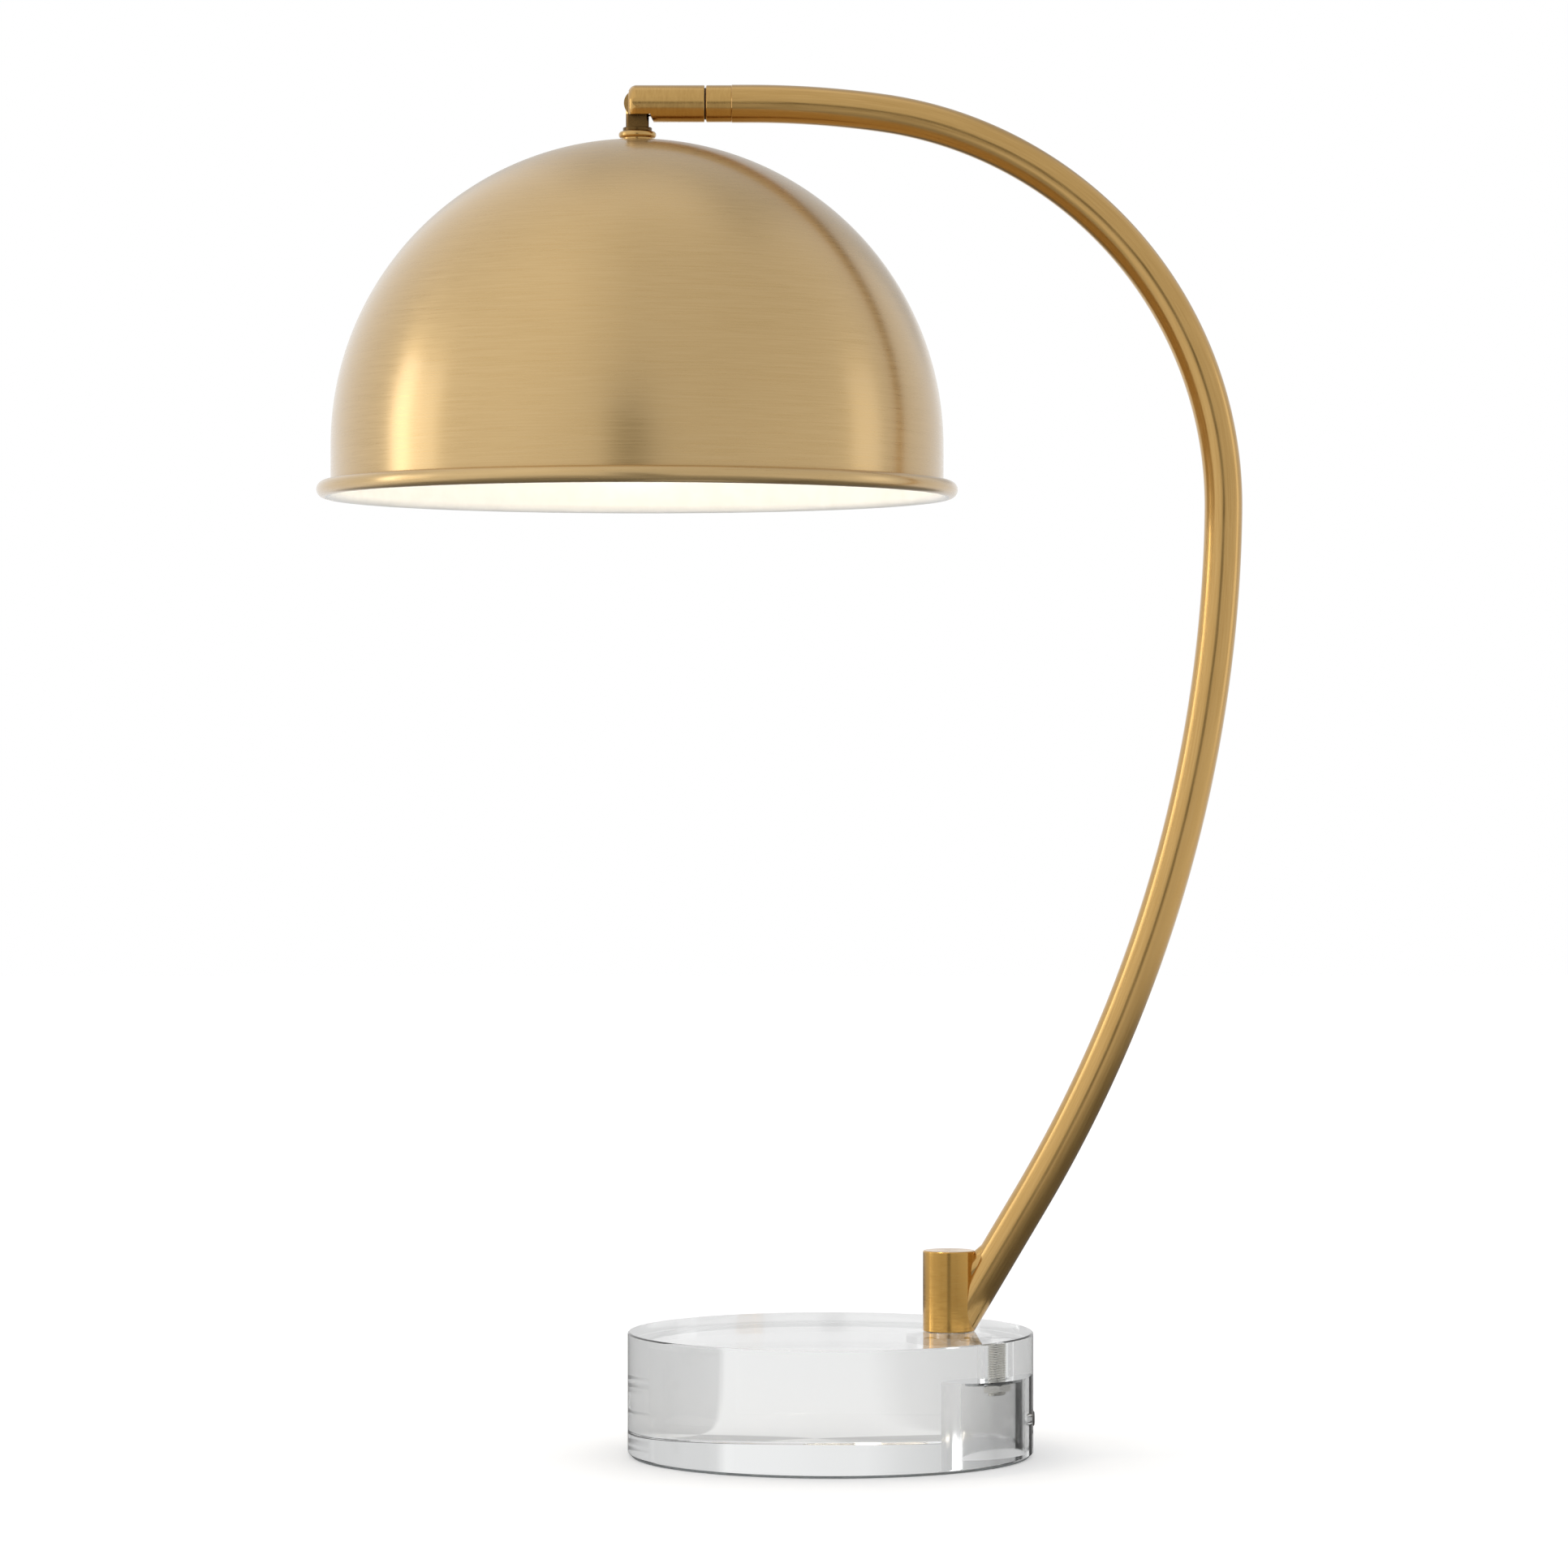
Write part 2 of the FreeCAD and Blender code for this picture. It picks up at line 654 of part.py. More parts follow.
def make_inner_washer():
    low = -collar_drop - collar_thickness - check_stack()
    return on_pivot(tube(inner_washer_diameter, stud_diameter + thread_gap, low, low + inner_washer_thickness))


def make_shade_nut():
    high = -collar_drop - collar_thickness - check_stack()
    return on_pivot(hexagon(nut_flats, high - nut_thickness, high, stud_diameter + thread_gap, nut_chamfer))


# Lampholder, from the top of its neck downwards

holder_top = -collar_drop - collar_thickness - check_stack() - nut_thickness
shoulder_top = holder_top - holder_neck_length
cap_lip_top = shoulder_top - holder_cap_shoulder
cap_bottom = cap_lip_top - holder_cap_lip
shell_outer = holder_cap_diameter / 2 - holder_sheet - holder_fit
shell_inner = shell_outer - holder_sheet
shell_top = cap_bottom + holder_shell_overlap
shell_bottom = shell_top - holder_shell_length
block_top = shell_top + switch_block_overlap - holder_shell_overlap
block_bottom = block_top - switch_block_length
key_axis = block_top - key_drop


def make_holder_cap():
    """Drawn cup with a threaded neck and a rounded shoulder."""
    neck = holder_neck_diameter / 2
    bore = (stud_diameter + thread_gap) / 2
    rim = holder_cap_diameter / 2
    inner = rim - holder_sheet
    bend = holder_cap_shoulder - holder_sheet
    return on_pivot(turned([(bore, holder_top), (neck, holder_top), (neck, shoulder_top),
                            (rim, shoulder_top, bend), (rim, cap_bottom), (inner, cap_bottom),
                            (inner, shoulder_top - holder_sheet, bend - holder_sheet),
                            (bore, shoulder_top - holder_sheet)]))


def key_side(shape):
    """Puts a shape built about Z onto the key's radial axis, with the holder's axis at its zero."""
    return placed(shape, Vector(0, 0, key_axis), along_minus_x)


def make_holder_shell():
    """Sleeve with a rolled bead at its mouth and a hole for the key."""
    bead = holder_bead
    bead_top = shell_bottom + 2 * bead
    shape = turned([(shell_inner, shell_bottom), (shell_outer + bead, shell_bottom, bead / 2),
                    (shell_outer + bead, bead_top, bead / 2), (shell_outer, bead_top),
                    (shell_outer, shell_top), (shell_inner, shell_top)])
    return on_pivot(shape.cut(key_side(rod(key_shaft_diameter + key_hole_gap, 0, shell_outer + over))))


def make_switch_block():
    """Moulded block with the key's bearing and a pocket for its rotor, open to the top."""
    radius = shell_inner - holder_fit
    shape = turned([(0, block_bottom), (radius, block_bottom), (radius, block_top), (0, block_top)])
    shape = shape.cut(rod(contact_rivet_diameter, block_bottom - over, block_bottom + contact_rivet_diameter))
    inner = radius - key_shaft_depth
    shape = shape.cut(key_side(rod(key_shaft_diameter + key_shaft_gap, inner, radius + over)))
    span = key_rotor_diameter / 2 + key_rotor_gap
    length = key_rotor_thickness + 2 * key_rotor_gap
    pocket = key_side(rod(2 * span, inner, inner + length))
    chimney = Part.makeBox(length, 2 * span, key_drop + over, Vector(-inner - length, -span, key_axis))
    return on_pivot(shape.cut(pocket).cut(chimney))


def make_screw_shell():
    """Plain screw shell with a turned-in top on the block."""
    inner = screw_shell_bore / 2
    outer = inner + screw_shell_wall
    hole = screw_shell_hole / 2
    low = block_bottom - screw_shell_length
    return on_pivot(turned([(hole, block_bottom - screw_shell_wall), (inner, block_bottom - screw_shell_wall),
                            (inner, low), (outer, low), (outer, block_bottom), (hole, block_bottom)]))


def make_holder_liner():
    outer = shell_inner - holder_fit
    return on_pivot(tube(2 * outer, 2 * (outer - liner_wall), block_bottom - liner_length, block_bottom))


def make_centre_contact():
    """Springy strip riveted to the block and bowed down to the bulb's tip."""
    half = contact_width / 2
    top = block_bottom
    low = top - contact_rise
    inset = half - contact_sheet
    strip = slab([(-half, top), (half, top), (half, top - contact_sheet), (-inset, top - contact_sheet),
                  (-inset, low + contact_sheet), (inset, low + contact_sheet), (inset, low), (-half, low)],
                 contact_width / 2)
    return on_pivot(strip.fuse(rod(contact_rivet_diameter, top - contact_sheet, top + contact_rivet_diameter)))


def make_switch_key():
    """Turn key: rotor in the block, shaft through the shell and a fluted knob."""
    start = shell_inner - holder_fit - key_shaft_depth
    knob_low = shell_outer + key_stem_length
    knob_high = knob_low + key_knob_length
    shaft = rod(key_shaft_diameter, start + key_rotor_gap, knob_low + key_knob_length / 2)
    low = start + key_rotor_gap
    rotor = rod(key_rotor_diameter, low, low + key_rotor_thickness)
    knob = turned([(0, knob_low), (key_knob_diameter / 2, knob_low, key_flute_radius / 2),
                   (key_knob_diameter / 2, knob_high, key_knob_round), (0, knob_high)])
    flute = rod(2 * key_flute_radius, knob_low - over, knob_high + over)
    for i in range(key_knob_flutes):
        angle = 2 * math.pi * i / key_knob_flutes
        reach = key_knob_diameter / 2 + key_flute_radius / 2
        knob = knob.cut(placed(flute, Vector(reach * math.cos(angle), reach * math.sin(angle), 0)))
    return on_pivot(key_side(shaft.fuse(rotor).fuse(knob)))


# Bulb, from its tip downwards

bulb_tip = block_bottom - contact_rise
bulb_shoulder = bulb_tip - bulb_tip_height - bulb_insulator_height
bulb_cap_end = bulb_shoulder - bulb_cap_length
bulb_seam = bulb_cap_end - bulb_body_length


def make_bulb_tip():
    radius = bulb_tip_diameter / 2
    low = bulb_tip - bulb_tip_height
    return on_pivot(turned([(0, low), (radius, low), (radius, bulb_tip, radius / 2), (0, bulb_tip)]))


def make_bulb_insulator():
    low, high = bulb_shoulder, bulb_shoulder + bulb_insulator_height
    wide, narrow = bulb_insulator_diameter / 2, bulb_tip_diameter / 2
    return on_pivot(turned([(0, low), (wide, low), (narrow, high), (0, high)]))


def make_bulb_cap():
    outer = bulb_cap_diameter / 2
    inner = outer - bulb_cap_wall
    under = bulb_shoulder - bulb_cap_wall
    return on_pivot(turned([(0, under), (inner, under), (inner, bulb_cap_end), (outer, bulb_cap_end),
                            (outer, bulb_shoulder, bulb_cap_wall * 2), (0, bulb_shoulder)]))


def make_bulb_body():
    """Tapered body between the screw cap and the diffuser, with a core inside the cap."""
    neck = bulb_neck_diameter / 2
    seam = bulb_seam_diameter / 2
    core = bulb_cap_diameter / 2 - bulb_cap_wall
    core_top = bulb_shoulder - bulb_cap_wall
    return on_pivot(turned([(0, bulb_seam), (seam, bulb_seam), (seam, bulb_seam + bulb_body_rim),
                            (neck, bulb_cap_end - bulb_body_rim, bulb_body_rim), (neck, bulb_cap_end),
                            (core, bulb_cap_end), (core, core_top), (0, core_top)]))


def make_bulb_diffuser():
    """Hollow round diffuser on the seam of the body."""
    ball = bulb_diameter / 2
    seam = bulb_seam_diameter / 2
    end = bulb_tip - bulb_length
    centre = end + ball
    parts = []
    for wall in (0, bulb_wall):
        radius = ball - wall
        side = seam - wall
        top = centre + math.sqrt(radius ** 2 - side ** 2)
        parts.append((Vector(0, 0, centre - radius), Vector(radius, 0, centre), Vector(side, 0, top)))
    (pole, side, lip), (inner_pole, inner_side, inner_lip) = parts
    collar, inner_collar = Vector(lip.x, 0, bulb_seam), Vector(inner_lip.x, 0, bulb_seam)

    def bow(first, last, radius):
        middle = Vector(0, 0, centre) + ((first + last) * 0.5 - Vector(0, 0, centre)).normalize() * radius
        return Part.Arc(first, middle, last)

    edges = [Part.LineSegment(inner_pole, pole), bow(pole, lip, ball), Part.LineSegment(lip, collar),
             Part.LineSegment(collar, inner_collar), Part.LineSegment(inner_collar, inner_lip),
             bow(inner_lip, inner_pole, ball - bulb_wall)]
    profile = Part.Wire([edge.toShape() for edge in edges])
    return on_pivot(Part.Face(profile).revolve(origin, up, 360))


nodes = {
    "base_block": make_base_block,
    "base_foot_ring": make_foot_ring,
    "cable_bushing": make_cable_bushing,
    "post": make_post,
    "post_stud": make_post_stud,
    "clamp_washer": make_clamp_washer,
    "lock_washer": make_lock_washer,
    "clamp_nut": make_clamp_nut,
    "arm_tube": make_arm_tube,
    "arm_ferrule": make_arm_ferrule,
    "stop_pin": make_stop_pin,
    "swivel_washer": make_swivel_washer,
    "swivel_body": make_swivel_body,
    "wave_washer": make_wave_washer,
    "snap_ring": make_snap_ring,
    "pivot_pin": make_pivot_pin,
    "tilt_tongue": make_tilt_tongue,
    "check_ring": make_check_ring,
    "shade": make_shade,
    "shade_inner_washer": make_inner_washer,
    "shade_nut": make_shade_nut,
    "holder_cap": make_holder_cap,
    "holder_shell": make_holder_shell,
    "switch_block": make_switch_block,
    "screw_shell": make_screw_shell,
    "holder_liner": make_holder_liner,
    "centre_contact": make_centre_contact,
    "switch_key": make_switch_key,
    "bulb_tip": make_bulb_tip,
    "bulb_insulator": make_bulb_insulator,
    "bulb_cap": make_bulb_cap,
    "bulb_body": make_bulb_body,
    "bulb_diffuser": make_bulb_diffuser,
}

os.makedirs("parts", exist_ok=True)
for name, make in nodes.items():
    solid = make().Solids[0]
    solid.exportStep("parts/" + name + ".step")
    print("%-20s valid %s volume %.1f" % (name, solid.isValid(), solid.Volume))
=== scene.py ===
import json
import math
import bmesh
import bpy
from mathutils import Matrix, Vector


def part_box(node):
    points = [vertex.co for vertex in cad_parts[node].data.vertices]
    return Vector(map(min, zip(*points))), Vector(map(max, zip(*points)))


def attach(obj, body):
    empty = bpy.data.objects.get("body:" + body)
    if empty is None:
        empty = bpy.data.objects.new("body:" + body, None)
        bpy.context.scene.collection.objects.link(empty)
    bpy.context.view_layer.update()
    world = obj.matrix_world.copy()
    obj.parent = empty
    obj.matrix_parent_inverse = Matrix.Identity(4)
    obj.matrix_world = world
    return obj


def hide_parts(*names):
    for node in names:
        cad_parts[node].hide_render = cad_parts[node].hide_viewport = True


# Desk lamp: clear round base, turned post, bowed brass tube, swivel and tilt joint,
# spun dome shade with a rolled rim, lampholder with a turn key and an opal bulb.
# Outlines are in millimetres; finished meshes and all shader values are in metres.

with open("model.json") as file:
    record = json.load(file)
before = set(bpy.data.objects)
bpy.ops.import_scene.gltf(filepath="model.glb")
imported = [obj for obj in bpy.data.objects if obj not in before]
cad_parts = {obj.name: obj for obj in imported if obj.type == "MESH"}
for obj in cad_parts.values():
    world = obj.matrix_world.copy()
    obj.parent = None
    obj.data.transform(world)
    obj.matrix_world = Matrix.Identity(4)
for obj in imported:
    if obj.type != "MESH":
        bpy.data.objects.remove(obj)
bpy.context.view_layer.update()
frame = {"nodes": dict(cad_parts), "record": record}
mm = 0.001
body_of = {node: body for body, nodes in frame["record"]["behaviour"]["bodies"].items() for node in nodes}
slot_of = {part["node"]: part["material_slot"] for part in frame["record"]["subparts"]}


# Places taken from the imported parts

def low(node):
    """Lowest corner of a node's box, in millimetres."""
    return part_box(node)[0] / mm


def high(node):
    """Highest corner of a node's box, in millimetres."""
    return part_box(node)[1] / mm


def middle(node):
    return (low(node) + high(node)) / 2


pivot = middle("pivot_pin")
post_x = middle("post").x
base_low = low("base_block").z
base_top = high("base_block").z
base_radius = high("base_block").x
rim_low = low("shade").z
arm_end = Vector((low("arm_tube").x, 0, pivot.z))
dome_radius, dome_sheet, bead_radius, skirt = 129.1, 0.9, 3.45, 18.65
dome_inside = dome_radius - dome_sheet
bead_x = dome_inside + bead_radius
bead_z = rim_low + bead_radius
dome_z = bead_z + skirt

# Sizes that several pieces share
pocket_radius, post_radius, bulb_seam = 18.0, 11.0, 28.0
thread_bore, tail_bore = 5.05, 4.05
bushing_face = base_radius - 0.3
arm_foot = base_top + 0.4
hair = 0.02  # left between touching faces, so that neither shows through the other


# Materials

def ink(code):
    """Linear colour of an sRGB hex code."""
    parts = [int(code[i:i + 2], 16) / 255 for i in (0, 2, 4)]
    return [p / 12.92 if p <= 0.04045 else ((p + 0.055) / 1.055) ** 2.4 for p in parts] + [1.0]


def add(tree, kind, settings=None, links=None):
    """Adds a shader node, sets its options and inputs and links other nodes into it: a node by its first
    output, or one output of a node."""
    node = tree.nodes.new("ShaderNode" + kind)
    for key, value in (settings or {}).items():
        if key == "stops":
            ramp = node.color_ramp
            while len(ramp.elements) < len(value):
                ramp.elements.new(0.5)
            for element, (position, grey) in zip(ramp.elements, value):
                element.position = position
                element.color = (grey, grey, grey, 1.0)
        elif isinstance(key, str) and hasattr(node, key):
            setattr(node, key, value)
        else:
            node.inputs[key].default_value = value
    for key, source in (links or {}).items():
        output = source.outputs[0] if isinstance(source, bpy.types.Node) else source
        tree.links.new(output, node.inputs[key])
    return node


def surface(name):
    """New material with its shader node tree, empty but for the output."""
    material = bpy.data.materials.new(name)
    material.use_nodes = True
    tree = material.node_tree
    tree.nodes.clear()
    return material, tree


def close(tree, shader):
    """Ends a material in its shader."""
    add(tree, "OutputMaterial", None, {"Surface": shader})


# How a turned piece lies: upright, or along the arm's end
along_z = (0, 0, 0)
along_x = (0, math.pi / 2, 0)


def turned_brass(name, centre, lie, dark, light, rough, around, fine, shine, lacquer):
    """Brass sheet or bar brushed in the lathe, under clear lacquer: rings of darker and lighter scratches
    round its own axis. fine sets how many lie side by side, around how often each changes on its way.
    Real rings are finer than the eye resolves, so these are coarser."""
    material, tree = surface(name)
    place = add(tree, "TexCoord").outputs["Object"]
    own = add(tree, "Mapping",
              {"vector_type": "TEXTURE", "Location": [v * mm for v in centre], "Rotation": lie},
              {"Vector": place})
    axes = add(tree, "SeparateXYZ", None, {0: own})
    flat = add(tree, "CombineXYZ", None, {0: axes.outputs[0], 1: axes.outputs[1]})
    reach = add(tree, "VectorMath", {"operation": "LENGTH"}, {0: flat})
    ray = add(tree, "VectorMath", {"operation": "NORMALIZE"}, {0: flat})
    ray = add(tree, "VectorMath", {"operation": "SCALE", "Scale": around}, {0: ray})
    rise = add(tree, "Math", {"operation": "MULTIPLY", 1: fine}, {0: axes.outputs[2]})
    lift = add(tree, "CombineXYZ", None, {2: rise})
    spot = add(tree, "VectorMath", {"operation": "ADD"}, {0: ray, 1: lift})
    width = add(tree, "Math", {"operation": "MULTIPLY", 1: fine}, {0: reach.outputs["Value"]})
    grain = add(tree, "TexNoise", {"noise_dimensions": "4D", "Scale": 1.0, "Detail": 3.0, "Roughness": 0.6},
                {"Vector": spot, "W": width})
    cloud = add(tree, "TexNoise", {"Scale": 22.0, "Detail": 2.0}, {"Vector": own})
    tone = add(tree, "MapRange", {"From Min": 0.3, "From Max": 0.7, "To Min": 0.0, "To Max": 0.8},
               {"Value": grain})
    tone = add(tree, "Math", {"operation": "MULTIPLY_ADD", 1: 0.25}, {0: cloud, 2: tone})
    colour = add(tree, "Mix", {"data_type": "RGBA", 6: ink(dark), 7: ink(light)}, {0: tone})
    satin = add(tree, "MapRange",
                {"From Min": 0.3, "From Max": 0.7, "To Min": rough - 0.05, "To Max": rough + 0.05},
                {"Value": grain})
    relief = add(tree, "Bump", {"Strength": 0.12, "Distance": 0.00002}, {"Height": grain})
    tangent = add(tree, "Tangent", {"direction_type": "RADIAL", "axis": "X" if lie == along_x else "Z"})
    metal = add(tree, "BsdfPrincipled", {"Metallic": 1.0, "Anisotropic": shine, "Anisotropic Rotation": 0.25,
                                         "Coat Weight": lacquer, "Coat Roughness": 0.16},
                {"Base Color": colour.outputs[2], "Roughness": satin, "Normal": relief, "Tangent": tangent})
    close(tree, metal)
    return material


def drawn_brass():
    """Drawn brass tube, brushed lengthwise and lacquered: long faint streaks along the bends."""
    material, tree = surface("tube_brass")
    run = add(tree, "Attribute", {"attribute_name": "run"}).outputs["Vector"]
    slow = add(tree, "VectorMath", {"operation": "MULTIPLY", 1: (1.0, 1.0, 0.03)}, {0: run})
    streak = add(tree, "TexNoise", {"Scale": 1500.0, "Detail": 3.0, "Roughness": 0.6}, {"Vector": slow})
    cloud = add(tree, "TexNoise", {"Scale": 45.0, "Detail": 2.0}, {"Vector": run})
    tone = add(tree, "MapRange", {"From Min": 0.3, "From Max": 0.7, "To Max": 0.8}, {"Value": streak})
    tone = add(tree, "Math", {"operation": "MULTIPLY_ADD", 1: 0.25}, {0: cloud, 2: tone})
    colour = add(tree, "Mix", {"data_type": "RGBA", 6: ink("BF9756"), 7: ink("CFA867")}, {0: tone})
    satin = add(tree, "MapRange", {"From Min": 0.3, "From Max": 0.7, "To Min": 0.17, "To Max": 0.27},
                {"Value": streak})
    relief = add(tree, "Bump", {"Strength": 0.08, "Distance": 0.00002}, {"Height": streak})
    tangent = add(tree, "Tangent", {"direction_type": "UV_MAP", "uv_map": "lie"})
    metal = add(tree, "BsdfPrincipled", {"Metallic": 1.0, "Anisotropic": 0.5, "Coat Weight": 0.42,
                                         "Coat Roughness": 0.1},
                {"Base Color": colour.outputs[2], "Roughness": satin, "Normal": relief, "Tangent": tangent})
    close(tree, metal)
    return material


def plain(name, dark, light, scale, rough, relief, settings=None):
    """Surface with a soft cloud between two shades and a matching change of gloss."""
    material, tree = surface(name)
    place = add(tree, "TexCoord").outputs["Object"]
    cloud = add(tree, "TexNoise", {"Scale": scale, "Detail": 4.0, "Roughness": 0.6}, {"Vector": place})
    tone = add(tree, "MapRange", {"From Min": 0.35, "From Max": 0.65}, {"Value": cloud})
    colour = add(tree, "Mix", {"data_type": "RGBA", 6: ink(dark), 7: ink(light)}, {0: tone})
    gloss = add(tree, "MapRange",
                {"From Min": 0.35, "From Max": 0.65, "To Min": rough * 0.85, "To Max": rough * 1.15},
                {"Value": cloud})
    bump = add(tree, "Bump", {"Strength": relief, "Distance": 0.00005}, {"Height": cloud})
    shader = add(tree, "BsdfPrincipled", settings,
                 {"Base Color": colour.outputs[2], "Roughness": gloss, "Normal": bump})
    close(tree, shader)
    return material


def clear_crystal(name, rough, painted_shade_stops=None):
    """Clear crystal with a trace of polishing haze; given stops, it is greyed across the pocket, left to
    right, as painted shade.
    """
    material, tree = surface(name)
    place = add(tree, "TexCoord").outputs["Object"]
    haze = add(tree, "TexNoise", {"Scale": 60.0, "Detail": 5.0}, {"Vector": place})
    gloss = add(tree, "MapRange",
                {"From Min": 0.5, "From Max": 0.8, "To Min": rough, "To Max": rough + 0.03},
                {"Value": haze})
    glass = add(tree, "BsdfPrincipled",
                {"Base Color": ink("FCFDFD"), "IOR": 1.49, "Transmission Weight": 1.0},
                {"Roughness": gloss})
    # Painted shade: the glass colour greys across the pocket from left to right
    if painted_shade_stops:
        spot = add(tree, "SeparateXYZ", None, {0: place})
        left, right = (post_x - pocket_radius) * mm, (post_x + pocket_radius) * mm
        across = add(tree, "MapRange", {"From Min": left, "From Max": right}, {"Value": spot.outputs[0]})
        grey = add(tree, "ValToRGB", {"stops": painted_shade_stops}, {0: across})
        tree.links.new(grey.outputs[0], glass.inputs["Base Color"])
    shade = add(tree, "BsdfTransparent", {"Color": ink("404040")})
    path = add(tree, "LightPath")
    dim = add(tree, "Math", {"operation": "MAXIMUM"},
              {0: path.outputs["Is Diffuse Ray"], 1: path.outputs["Is Shadow Ray"]})
    close(tree, add(tree, "MixShader", None, {0: dim, 1: glass, 2: shade}))
    return material


def opal_light():
    """Lit opal cover: warm white, a little dimmer where it meets its seam."""
    material, tree = surface("bulb_opal")
    place = add(tree, "TexCoord").outputs["Object"]
    height = add(tree, "SeparateXYZ", None, {0: place})
    seam, end = low("bulb_body").z * mm, low("bulb_diffuser").z * mm
    glow = add(tree, "MapRange",
               {"From Min": seam, "From Max": (seam + end) / 2, "To Min": 8.0, "To Max": 10.0},
               {"Value": height.outputs[2]})
    cloud = add(tree, "TexNoise", {"Scale": 40.0, "Detail": 2.0}, {"Vector": place})
    colour = add(tree, "Mix", {"data_type": "RGBA", 6: ink("FFF4DF"), 7: ink("FFF7E8")}, {0: cloud})
    shader = add(tree, "BsdfPrincipled", {"Base Color": ink("EFECE2"), "Roughness": 0.45},
                 {"Emission Color": colour.outputs[2], "Emission Strength": glow})
    close(tree, shader)
    return material


shade_axis = (pivot.x, 0, 0)
post_axis = (post_x, 0, 0)
joint_axis = (0, 0, pivot.z)
finish = {
    # Turned and lacquered brass: rings of scratches that draw the highlights out round each form
    "dome": turned_brass("dome_brass", shade_axis, along_z, "C7A66E", "D4B47E",
                         rough=0.3, around=5.0, fine=1500.0, shine=0.75, lacquer=0.75),
    "post": turned_brass("post_brass", post_axis, along_z, "C29348", "D2A65A",
                         rough=0.18, around=2.0, fine=1900.0, shine=0.7, lacquer=0.2),
    "joint": turned_brass("joint_brass", joint_axis, along_x, "BF9654", "CEA764",
                          rough=0.22, around=2.0, fine=2200.0, shine=0.6, lacquer=0.38),
    "neck": turned_brass("neck_brass", shade_axis, along_z, "BE9656", "CDA767",
                         rough=0.22, around=2.0, fine=2200.0, shine=0.6, lacquer=0.4),
    # Neck of the tongue: the same brass painted darker and with little lacquer, as painted shade and painted
    # reflection of the dark surroundings under the joint
    "stem": turned_brass("stem_brass_painted_shade", shade_axis, along_z, "594220", "6B502A",
                         rough=0.26, around=2.0, fine=2200.0, shine=0.6, lacquer=0.1),
    # Drawn and lacquered brass: one long highlight, broken by faint streaks
    "tube": drawn_brass(),
    # White stove enamel inside the shade: even and pale, so that the light comes back soft
    "enamel": plain("enamel_white", "EDEBE6", "F2F0EC", scale=90.0, rough=0.35, relief=0.05,
                    settings={"Coat Weight": 0.2}),
    # Polished crystal block: pale, with the white room bent through it
    "base_clear": clear_crystal("base_crystal", 0.0),
    # Wall of the pocket, left satin by the cutter, and greyed from left to right by painted shade: the grey
    # drum inside the block
    "well_satin": clear_crystal("well_crystal_painted_shade", 0.12, painted_shade_stops=[(0.0, 0.97), (0.15, 0.95), (0.4, 0.72),
                                                            (0.65, 0.5), (0.85, 0.6), (1.0, 0.72)]),
    # Clear silicone foot: a little milky, so the block seems to float on a thin grey line
    "foot_clear": plain("foot_silicone", "9EA2A3", "B0B4B5", scale=300.0, rough=0.4, relief=0.2,
                        settings={"IOR": 1.41, "Transmission Weight": 0.8}),
    # Dark moulded bushing: matte with a soft moulded grain
    "bushing_dark": plain("bushing_nylon", "5E5C5A", "6C6A68", scale=900.0, rough=0.45, relief=0.3),
    # Clear moulded washer: reads as a faint grey disc in the block
    "washer_clear": plain("washer_clear", "E9EDED", "F4F6F6", scale=200.0, rough=0.1, relief=0.05,
                          settings={"IOR": 1.58, "Transmission Weight": 0.9}),
    # Bright nickel: cool white metal with faint clouding
    "steel_plated": plain("nickel_bright", "DAD8D2", "E6E4DF", scale=700.0, rough=0.12, relief=0.1,
                          settings={"Metallic": 1.0}),
    # Faced end of the post, left bare and dull: a grey patch seen through the block
    "bare_end": plain("end_grey", "A6A7A9", "B4B5B7", scale=400.0, rough=0.5, relief=0.1),
    # Oiled spring steel: darker grey, streaked by rolling
    "spring_steel": plain("spring_steel", "8C8A86", "A5A29C", scale=900.0, rough=0.3, relief=0.2,
                          settings={"Metallic": 1.0}),
    # Thin friction washer: the dark brown joint line
    "washer_dark": plain("washer_brown", "2A1A0E", "3A2716", scale=900.0, rough=0.5, relief=0.2),
    # Black moulded thermoset: dull sheen with fine speckle
    "switch_moulding": plain("switch_black", "1A1817", "262321", scale=1200.0, rough=0.45, relief=0.3),
    # Pressed card sleeve: warm buff with fibre mottling
    "liner_card": plain("liner_card", "B8A581", "CDBB98", scale=1500.0, rough=0.8, relief=0.6),
    # Polished thermoset key: glossy black with soft wear
    "key_moulding": plain("key_black", "151312", "201D1B", scale=700.0, rough=0.18, relief=0.1,
                          settings={"Coat Weight": 0.3}),
    # Thin bright brass sheet of the holder: handling marks break the shine
    "brass_bare": plain("sheet_brass", "C9A466", "DDBB7E", scale=160.0, rough=0.2, relief=0.1,
                        settings={"Metallic": 1.0}),
    # Plated bulb cap: pale nickel sheet
    "bulb_cap_plated": plain("cap_nickel", "BDBBB5", "CFCDC7", scale=500.0, rough=0.24, relief=0.1,
                             settings={"Metallic": 1.0}),
    # Black glass insulator round the bulb's contact
    "bulb_insulator_dark": plain("insulator_black", "101013", "1B1B20", scale=700.0, rough=0.15, relief=0.1),
    # White moulded bulb body: faintly warm, satin
    "bulb_white": plain("bulb_white", "E4E3DE", "EDECE8", scale=250.0, rough=0.38, relief=0.1),
    # Opal moulded cover of the bulb, lit from within: an even warm glow
    "bulb_opal": opal_light(),
}


# Outlines and meshes

